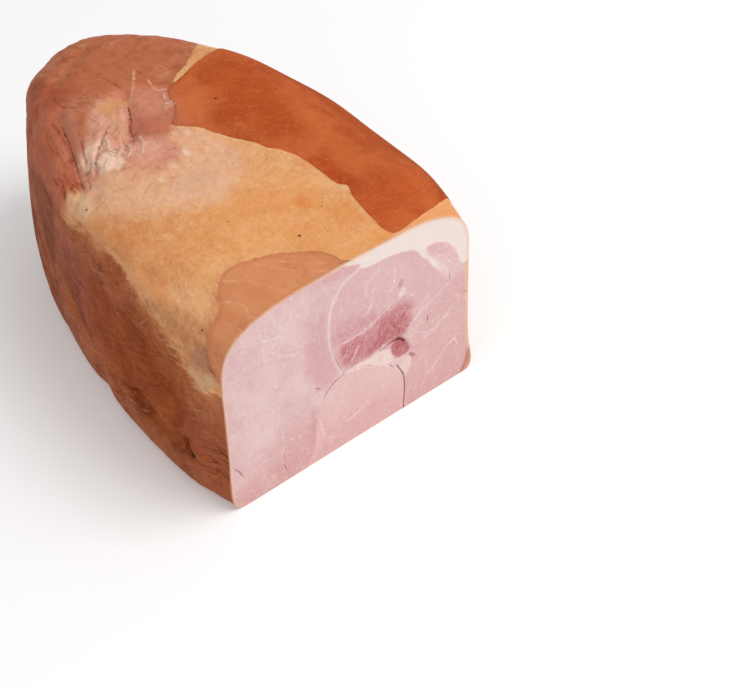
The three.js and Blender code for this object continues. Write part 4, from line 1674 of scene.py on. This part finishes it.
@dataclass(frozen=True)
class Shell:
    """A closed form of the ham, bent from a sphere whose first pole is the cut's middle."""

    form: HamForm
    around: int  # vertices in a ring
    cut_rings: int
    skin_rings: int
    cut_edge: float = 0.985  # the share of the cut's radius within which it is sunk

    def ball(self, name: str) -> tuple[bpy.types.Object, np.ndarray, np.ndarray]:
        """The sphere that it is bent from.

        Args:
            name: the object's name.

        Returns:
            The object, and the ring and the bearing of each vertex.
        """
        rings = self.cut_rings + self.skin_rings
        bm = bmesh.new()
        bmesh.ops.create_uvsphere(bm, u_segments=self.around, v_segments=rings, radius=1.0)
        mesh = bpy.data.meshes.new(name)
        bm.to_mesh(mesh)
        bm.free()
        piece = bpy.data.objects.new(name, mesh)
        bpy.context.scene.collection.objects.link(piece)
        ball = read_points(mesh)
        ring = np.arccos(np.clip(ball[:, 2], -1.0, 1.0)) / math.pi * rings
        turned = np.degrees(np.arctan2(ball[:, 1], ball[:, 0]))
        turned = np.where(turned < -90.0, turned + 360.0, turned)
        return piece, ring, self.bearings(turned)

    def bearings(self, turned: np.ndarray) -> np.ndarray:
        """Spaces the bearings closer together over the top and the sides.

        Args:
            turned: even bearings, in degrees.

        Returns:
            The new ones.
        """
        degrees = np.linspace(-90.0, 270.0, BEARING_ROWS)
        fine = smooth(0.0, 20.0, degrees) * smooth(232.0, 214.0, degrees)
        walked = np.concatenate([[0.0], np.cumsum((1.0 + fine)[1:])])
        return np.interp((turned + 90.0) / 360.0 * walked[-1], walked, degrees)

    def stations(self, ring: np.ndarray) -> np.ndarray:
        """Spaces the rings of the skin, closer together before the domed end.

        Args:
            ring: the number of each vertex's ring.

        Returns:
            Its station, in mm.
        """
        share = 1.0 - np.linspace(1.0, 0.0, STATION_ROWS) ** 2
        half_width, half_height, _, _ = self.form.section(np.minimum(share, NEARLY_ONE))
        step = np.hypot(np.diff(share * self.form.length), np.diff((half_width + half_height) / 2))
        fine = 1.0 + smooth(0.80, 0.68, share[1:])
        walked = np.concatenate([[0.0], np.cumsum(step * fine)])
        wanted = np.clip((ring - self.cut_rings) / self.skin_rings, 0.0, 1.0) * walked[-1]
        return np.interp(wanted, walked, share * self.form.length)

    def whole(self, name: str) -> bpy.types.Object:
        """The ham's own surface, with its fine relief.

        Args:
            name: the object's name.

        Returns:
            The object, whose faces have the slot of the skin or of the cut.
        """
        piece, ring, bearing = self.ball(name)
        station = self.stations(ring)
        skin = self.form.radius(station, bearing)
        skin = skin + skin_detail(station, bearing) * np.minimum(1.0, skin / TIP_FADE)
        share = np.clip(ring / self.cut_rings, 0.0, 1.0)
        tip = ring > self.cut_rings + self.skin_rings - 0.5
        places = self.form.place(station, bearing, np.where(tip, 0.0, skin * share))
        on_cut_face = ring < self.cut_rings - 0.5
        sunk = cut_detail(places[on_cut_face, 0] + CUT_CORNER,
                          places[on_cut_face, 2] - CUT_FOOT)
        places[on_cut_face, 1] += sunk * smooth(1.0, self.cut_edge, share[on_cut_face])
        places[:, 2] = np.maximum(PRESSED_FLAT, places[:, 2])
        write_points(piece.data, places)
        slots = np.where(face_least(piece.data, ring < self.cut_rings + 0.5),
                         Slot.CUT.value, Slot.SKIN.value)
        piece.data.polygons.foreach_set("material_index", slots.astype(np.int32))
        return piece

    def parting(self, name: str, fat: FatCap) -> bpy.types.Object:
        """The form of everything but the fat cap, which runs out past the cut.

        Args:
            name: the object's name.
            fat: the cap.

        Returns:
            The object, whose faces have the slot of the inside.
        """
        piece, ring, bearing = self.ball(name)
        station = self.stations(ring)
        inset = fat.inset(station, bearing)
        radius = np.maximum(0.0, self.form.radius(station, bearing) - inset)
        share = np.clip(ring / self.cut_rings, 0.0, 1.0)
        tip = ring > self.cut_rings + self.skin_rings - 0.5
        places = self.form.place(station, bearing, np.where(tip, 0.0, radius * share))
        places[:, 1] += np.where(ring < self.cut_rings + 0.5, -fat.past_cut, 0.0)
        places[:, 1] += np.where(tip, fat.proud, 0.0)
        write_points(piece.data, places)
        piece.data.polygons.foreach_set(
            "material_index", np.full(len(piece.data.polygons), Slot.INSIDE.value, np.int32))
        return piece


def read_points(mesh: bpy.types.Mesh) -> np.ndarray:
    """The places of a mesh's vertices.

    Args:
        mesh: the mesh.

    Returns:
        One row of x, y and z for each vertex.
    """
    flat = np.empty(len(mesh.vertices) * 3)
    mesh.vertices.foreach_get("co", flat)
    return flat.reshape(-1, 3)


def write_points(mesh: bpy.types.Mesh, places: np.ndarray) -> None:
    """Moves a mesh's vertices to places in mm."""
    mesh.vertices.foreach_set("co", (places * MM).ravel())
    mesh.update()


def face_least(mesh: bpy.types.Mesh, values: np.ndarray) -> np.ndarray:
    """The least of a value over each face's vertices.

    Args:
        mesh: the mesh.
        values: the value of each vertex.

    Returns:
        The least value of each face.
    """
    corners = np.empty(len(mesh.loops), np.int32)
    mesh.loops.foreach_get("vertex_index", corners)
    starts = np.empty(len(mesh.polygons), np.int32)
    mesh.polygons.foreach_get("loop_start", starts)
    return np.minimum.reduceat(values[corners], starts)


def cloud(places: np.ndarray, size: float, seed: float = 0.0) -> np.ndarray:
    """Smooth noise from about -1 to 1 at places in mm, of a size in mm, shifted by a seed."""
    return np.array([noise.noise(place) for place in (places / size + seed).tolist()])


def spots(listed: tuple[tuple[float, float, float], ...], station: np.ndarray,
          arc: np.ndarray) -> np.ndarray:
    """Distances of places of the unrolled skin from the nearest of some round spots."""
    return np.minimum.reduce([np.hypot(station - s, arc - b * ARC_PER_DEGREE) - size
                              for s, b, size in listed])


def facing_up(station: np.ndarray, bearing: np.ndarray, height: np.ndarray) -> np.ndarray:
    """How much places of the skin belong to the top and not to the sides.

    Args:
        station: stations of the places, in mm.
        bearing: their bearings, in degrees.
        height: their heights, in mm, by which the domed end is told apart.

    Returns:
        1 on the top and 0 down the sides.
    """
    by_bearing = smooth(162.0, 140.0, bearing) * smooth(10.0, 46.0, bearing)
    by_height = smooth(50.0, 125.0, height)
    return by_bearing + (by_height - by_bearing) * smooth(200.0, 280.0, station)


def skin_detail(station: np.ndarray, bearing: np.ndarray) -> np.ndarray:
    """The fine relief of the skin: furrows, folds, wrinkles and the raised rind.

    Args:
        station: stations of the places, in mm.
        bearing: their bearings, in degrees.

    Returns:
        Its heights, in mm.
    """
    arc = bearing * ARC_PER_DEGREE
    height = np.zeros_like(arc)
    for strands in SKIN_STRANDS:
        for route in strands.routes:
            near = np.abs(route.offset(station, arc)) / (strands.half + RELIEF_SPREAD)
            height += RELIEF_GAIN * strands.rise * bell(near)
    rind = RIND.inside(station, arc)
    golden = GOLDEN.inside(station, arc)
    height = height - RIND_RISE * smooth(0.9, -0.9, rind)
    height = height - PATCH_SUNK * smooth(-0.8, 0.8, PATCH.inside(station, arc))
    chart = np.stack([station, arc, np.zeros_like(arc)], -1)
    lumps = cloud(chart, 15.0) * 0.5 + cloud(chart, 6.0, 7.0) * 0.3
    ridges = cloud(chart * (0.3, 1.0, 1.0), 5.0, 3.0) * 0.4
    wrinkles = np.abs(cloud(chart * (0.35, 1.0, 1.0), 7.0, 11.0)) * 1.3
    on_fat = smooth(-3.0, 3.0, golden) * smooth(1.0, -2.0, rind)
    on_lean = smooth(3.0, -3.0, golden)
    folded = on_fat * smooth(112.0, 146.0, bearing)
    height = height + lumps * (0.5 * on_fat + 0.8 * on_lean) + ridges * on_lean
    height = height - wrinkles * folded
    from_cut = smooth(0.0, 3.0, station)
    from_below = smooth(38.0, 62.0, np.abs(turn(270.0, bearing)))
    return height * from_cut * from_below


def cut_detail(x: np.ndarray, z: np.ndarray) -> np.ndarray:
    """How far places of the cut are sunk: splits, seams and soft muscle ends.

    Args:
        x: how far right of the cut's corner they lie, in mm.
        z: how far above it they lie, in mm.

    Returns:
        Their depths, in mm.
    """
    depth = 0.22 + 0.12 * cloud(np.stack([x, z, np.zeros_like(x)], -1), 22.0)
    for strands in CUT_STRANDS:
        for route in strands.routes:
            depth = depth - strands.rise * bell(route.offset(x, z) / (strands.half + CUT_SPREAD))
    for outline, proud in ((OVAL, 0.3), (DARK_MUSCLE, -0.2), (SMALL_MUSCLE, 0.2),
                           (RED_MUSCLE, -0.6), (WHITE_PATCH, -0.2), (VOID, -1.0)):
        depth = depth - proud * smooth(-1.2, 1.6, outline.inside(x, z))
    return np.maximum(0.0, depth)


@dataclass
class Ham:
    """The whole ham: its fine surface, parted into lean and fat, and dressed."""

    form: HamForm = HamForm()
    cap: FatCap = FatCap()
    fine: Shell = Shell(HamForm(), around=384, cut_rings=92, skin_rings=208)
    coarse: Shell = Shell(HamForm(), around=160, cut_rings=3, skin_rings=100)
    skin: SkinFinish = SkinFinish()
    cut: CutFinish = CutFinish()
    lean_inside: InsideFinish = InsideFinish((226, 184, 182))
    fat_inside: InsideFinish = InsideFinish((244, 230, 222))
    scale: np.ndarray = field(default_factory=lambda: np.ones(3))  # from the form to the frame
    shift: np.ndarray = field(default_factory=lambda: np.zeros(3))  # mm, after the scale

    def build(self) -> list[bpy.types.Object]:
        """Makes both pieces.

        Returns:
            The lean meat and the fat cap.
        """
        whole = self.fine.whole("whole_ham")
        parting = self.coarse.parting("parting", self.cap)
        self.settle(whole, parting)
        for slot in Slot:
            whole.data.materials.append(bpy.data.materials.new(f"slot_{slot.name.lower()}"))
        lean = self.part(whole, parting, "INTERSECT", "ham_lean")
        self.finish(lean, "lean_meat", self.lean_inside)
        fat = self.part(whole, parting, "DIFFERENCE", "ham_fat")
        self.finish(fat, "fat_cap", self.fat_inside)
        for spare in (whole, parting):
            bpy.data.objects.remove(spare)
        return [lean, fat]

    def settle(self, whole: bpy.types.Object, parting: bpy.types.Object) -> None:
        """Moves both forms into the frame, with the whole ham just filling the solids' box.

        Args:
            whole: the whole ham.
            parting: the form that parts it.
        """
        low = read_points(whole.data).min(0) / MM
        high = read_points(whole.data).max(0) / MM
        box_low, box_high = np.array(CAD_LOW) / MM, np.array(CAD_HIGH) / MM
        self.scale = (box_high - box_low) / (high - low)
        self.shift = box_low - low * self.scale
        LOG.info("fitted to the box by %s", np.round(self.scale, 4))
        for piece in (whole, parting):
            write_points(piece.data, read_points(piece.data) / MM * self.scale + self.shift)

    def part(self, whole: bpy.types.Object, parting: bpy.types.Object, operation: str,
             name: str) -> bpy.types.Object:
        """Cuts one piece out of the whole.

        Args:
            whole: the whole ham.
            parting: the form of everything but the cap.
            operation: the Boolean that leaves the piece.
            name: the piece's name.

        Returns:
            The piece.
        """
        tool = whole.modifiers.new("part", "BOOLEAN")
        tool.operation = operation
        tool.object = parting
        tool.solver = "MANIFOLD"
        graph = bpy.context.evaluated_depsgraph_get()
        mesh = bpy.data.meshes.new_from_object(whole.evaluated_get(graph))
        whole.modifiers.remove(tool)
        mesh.name = name
        piece = bpy.data.objects.new(name, mesh)
        bpy.context.scene.collection.objects.link(piece)
        return piece

    def finish(self, piece: bpy.types.Object, node: str, inside: InsideFinish) -> None:
        """Gives a piece its marks, shading and materials, hangs it from the root body and hides
        its solid.

        Args:
            piece: the piece.
            node: the solid that it stands for.
            inside: the finish of its hidden faces.
        """
        mesh = piece.data
        mesh.materials[Slot.SKIN.value] = self.skin.material(f"{piece.name}_skin")
        mesh.materials[Slot.CUT.value] = self.cut.material(f"{piece.name}_cut")
        mesh.materials[Slot.INSIDE.value] = inside.material(f"{piece.name}_inside")
        places = (read_points(mesh) / MM - self.shift) / self.scale
        for name, values in self.marks(places).items():
            layer = mesh.attributes.new(name, "FLOAT", "POINT")
            layer.data.foreach_set("value", values.astype(np.float32))
        mesh.polygons.foreach_set("use_smooth", np.ones(len(mesh.polygons), bool))
        self.sharpen(mesh)
        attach(piece, "root")
        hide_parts(node)

    def sharpen(self, mesh: bpy.types.Mesh) -> None:
        """Makes the edges sharp where two materials meet.

        Args:
            mesh: the mesh.
        """
        slots = np.empty(len(mesh.polygons), np.int32)
        mesh.polygons.foreach_get("material_index", slots)
        sizes = np.empty(len(mesh.polygons), np.int32)
        mesh.polygons.foreach_get("loop_total", sizes)
        edges = np.empty(len(mesh.loops), np.int32)
        mesh.loops.foreach_get("edge_index", edges)
        of_corner = np.repeat(slots, sizes)
        least = np.full(len(mesh.edges), len(Slot), np.int32)
        most = np.full(len(mesh.edges), -1, np.int32)
        np.minimum.at(least, edges, of_corner)
        np.maximum.at(most, edges, of_corner)
        sharp = mesh.attributes.new("sharp_edge", "BOOLEAN", "EDGE")
        sharp.data.foreach_set("value", least != most)
        mesh.update()
        LOG.info("%s: faces by slot %s", mesh.name, np.bincount(slots, minlength=len(Slot)))

    def marks(self, places: np.ndarray) -> dict[str, np.ndarray]:
        """The values that the materials read.

        Args:
            places: one row of x, y and z in mm for each vertex, in the form's own frame.

        Returns:
            Each mark's values, by its name.
        """
        station = places[:, 1]
        bearing, radius = self.form.find(places[:, 0], station, places[:, 2])
        arc = bearing * ARC_PER_DEGREE
        marks = {
            Mark.STATION.value: station,
            Mark.BEARING.value: bearing,
            Mark.BELOW_SKIN.value: self.form.radius(station, bearing) - radius,
            Mark.RIND.value: RIND.inside(station, arc),
            Mark.GOLDEN.value: GOLDEN.inside(station, arc),
            Mark.PATCH.value: PATCH.inside(station, arc),
            Mark.WET.value: WET.inside(station, arc),
            Mark.SPECK.value: spots(SPECKS, station, arc),
            Mark.MILKY.value: spots(MILKY_SPOTS, station, arc),
            Mark.UPWARD.value: facing_up(station, bearing, places[:, 2]),
        }
        for tint in (*SKIN_TINTS, *GOLDEN_TINTS, *TOP_TINTS, *RIND_TINTS):
            marks[tint.name] = tint.outline.inside(station, arc)
        for strands in SKIN_STRANDS:
            marks |= self.line_marks(strands, station, arc)
        near = station < CUT_SINKS_BY
        x, z = places[:, 0] + CUT_CORNER, places[:, 2] - CUT_FOOT
        for tint in CUT_TINTS:
            marks[tint.name] = np.full(len(places), FAR_OUTSIDE)
            marks[tint.name][near] = tint.outline.inside(x[near], z[near])
        for strands in CUT_STRANDS:
            for name, values in self.line_marks(strands, x[near], z[near]).items():
                marks[name] = np.full(len(places), -FAR_OUTSIDE)
                marks[name][near] = values
        return marks

    def line_marks(self, strands: Strands, x: np.ndarray, y: np.ndarray) -> dict[str, np.ndarray]:
        """The distances of places from some strands, without and with a sign.

        Args:
            strands: the strands.
            x: first coordinates of the places.
            y: second coordinates of the places.

        Returns:
            Both distances in mm, by the names of their marks.
        """
        offset = np.full(x.shape, -FAR_OUTSIDE)
        for route in strands.routes:
            other = route.offset(x, y)
            offset = np.where(np.abs(other) < np.abs(offset), other, offset)
        return {strands.name: np.abs(offset), strands.side_name: offset}


# ---- Studio ----
@dataclass(frozen=True)
class Lamp:
    """A soft square light that faces the ham."""

    name: str
    place: tuple[float, float, float]  # m
    size: float  # m
    power: float  # W

    def build(self, target: Vector) -> None:
        """Makes it, turned towards a target.

        Args:
            target: the place that it faces.
        """
        data = bpy.data.lights.new(self.name, "AREA")
        data.energy = self.power
        data.size = self.size
        lamp = bpy.data.objects.new(self.name, data)
        lamp.location = self.place
        lamp.rotation_euler = (target - lamp.location).to_track_quat("-Z", "Y").to_euler()
        bpy.context.scene.collection.objects.link(lamp)


@dataclass(frozen=True)
class Studio:
    """The floor, the lights and the camera at the photograph's view."""

    azimuth: float = -41.0  # degrees, 0 looks along +Y
    elevation: float = 42.5  # degrees above the level
    distance: float = 862.5  # mm along the view to the cut's lower left corner
    focal: float = 1500.0  # pixels of the photograph
    picture: tuple[int, int] = (752, 686)
    corner_pixel: tuple[float, float] = (243.0, 509.0)
    corner_left: float = 88.15  # mm from the box's middle to the cut's lower left corner
    sensor: float = 36.0  # mm
    lamps: tuple[Lamp, ...] = (
        Lamp("key", (0.55, -0.75, 1.5), 1.1, 16.0),
        Lamp("fill", (-1.5, -0.7, 0.9), 1.2, 3.5),
        Lamp("rim", (1.3, 0.7, 0.35), 0.7, 1.5),
    )

    def build(self) -> None:
        """Makes the whole studio."""
        self.floor()
        self.world()
        target = Vector((0.0, 0.0, CAD_HIGH.z / 2))
        for lamp in self.lamps:
            lamp.build(target)
        self.camera()
        view = bpy.context.scene.view_settings
        view.view_transform = "Standard"
        view.look = "None"

    def floor(self) -> None:
        """A wide pale floor under the ham."""
        bm = bmesh.new()
        bmesh.ops.create_grid(bm, x_segments=2, y_segments=2, size=6.0)
        mesh = bpy.data.meshes.new("floor")
        bm.to_mesh(mesh)
        bm.free()
        floor = bpy.data.objects.new("floor", mesh)
        bpy.context.scene.collection.objects.link(floor)
        paint = Painter("floor_paper")
        paint.set(Base_Color=(0.92, 0.92, 0.92, 1.0), Roughness=0.9,
                  Emission_Color=(1.0, 1.0, 1.0, 1.0), Emission_Strength=0.15)
        mesh.materials.append(paint.material)

    def world(self) -> None:
        """Even white light from all round."""
        world = bpy.data.worlds.new("studio")
        world.use_nodes = True
        background = world.node_tree.nodes["Background"]
        background.inputs["Color"].default_value = (1.0, 1.0, 1.0, 1.0)
        background.inputs["Strength"].default_value = 0.5
        bpy.context.scene.world = world

    def camera(self) -> None:
        """Places the camera so that the cut's corner falls on its pixel."""
        azimuth, elevation = math.radians(self.azimuth), math.radians(self.elevation)
        ahead = Vector((-math.sin(azimuth) * math.cos(elevation),
                        math.cos(azimuth) * math.cos(elevation), -math.sin(elevation)))
        right = Vector((math.cos(azimuth), math.sin(azimuth), 0.0))
        up = right.cross(ahead)
        width, height = self.picture
        column = (self.corner_pixel[0] - width / 2) / self.focal
        row = (height / 2 - self.corner_pixel[1]) / self.focal
        corner = Vector((-self.corner_left * MM, CAD_LOW.y, -PRESSED_FLAT * MM))
        data = bpy.data.cameras.new("view")
        data.sensor_width = self.sensor
        data.lens = self.focal / width * self.sensor
        data.clip_start, data.clip_end = 0.05, 20.0
        camera = bpy.data.objects.new("view", data)
        camera.location = corner - (ahead + column * right + row * up) * self.distance * MM
        camera.rotation_euler = ahead.to_track_quat("-Z", "Y").to_euler()
        bpy.context.scene.collection.objects.link(camera)
        bpy.context.scene.camera = camera


def main() -> None:
    """Builds the ham and its studio, and reports each piece."""
    logging.basicConfig(level=logging.INFO,
                        format="%(relativeCreated)6d ms %(name)s: %(message)s")
    for piece in Ham().build():
        LOG.info("%s: %d faces", piece.name, len(piece.data.polygons))
    Studio().build()


if __name__ == "__main__":
    main()
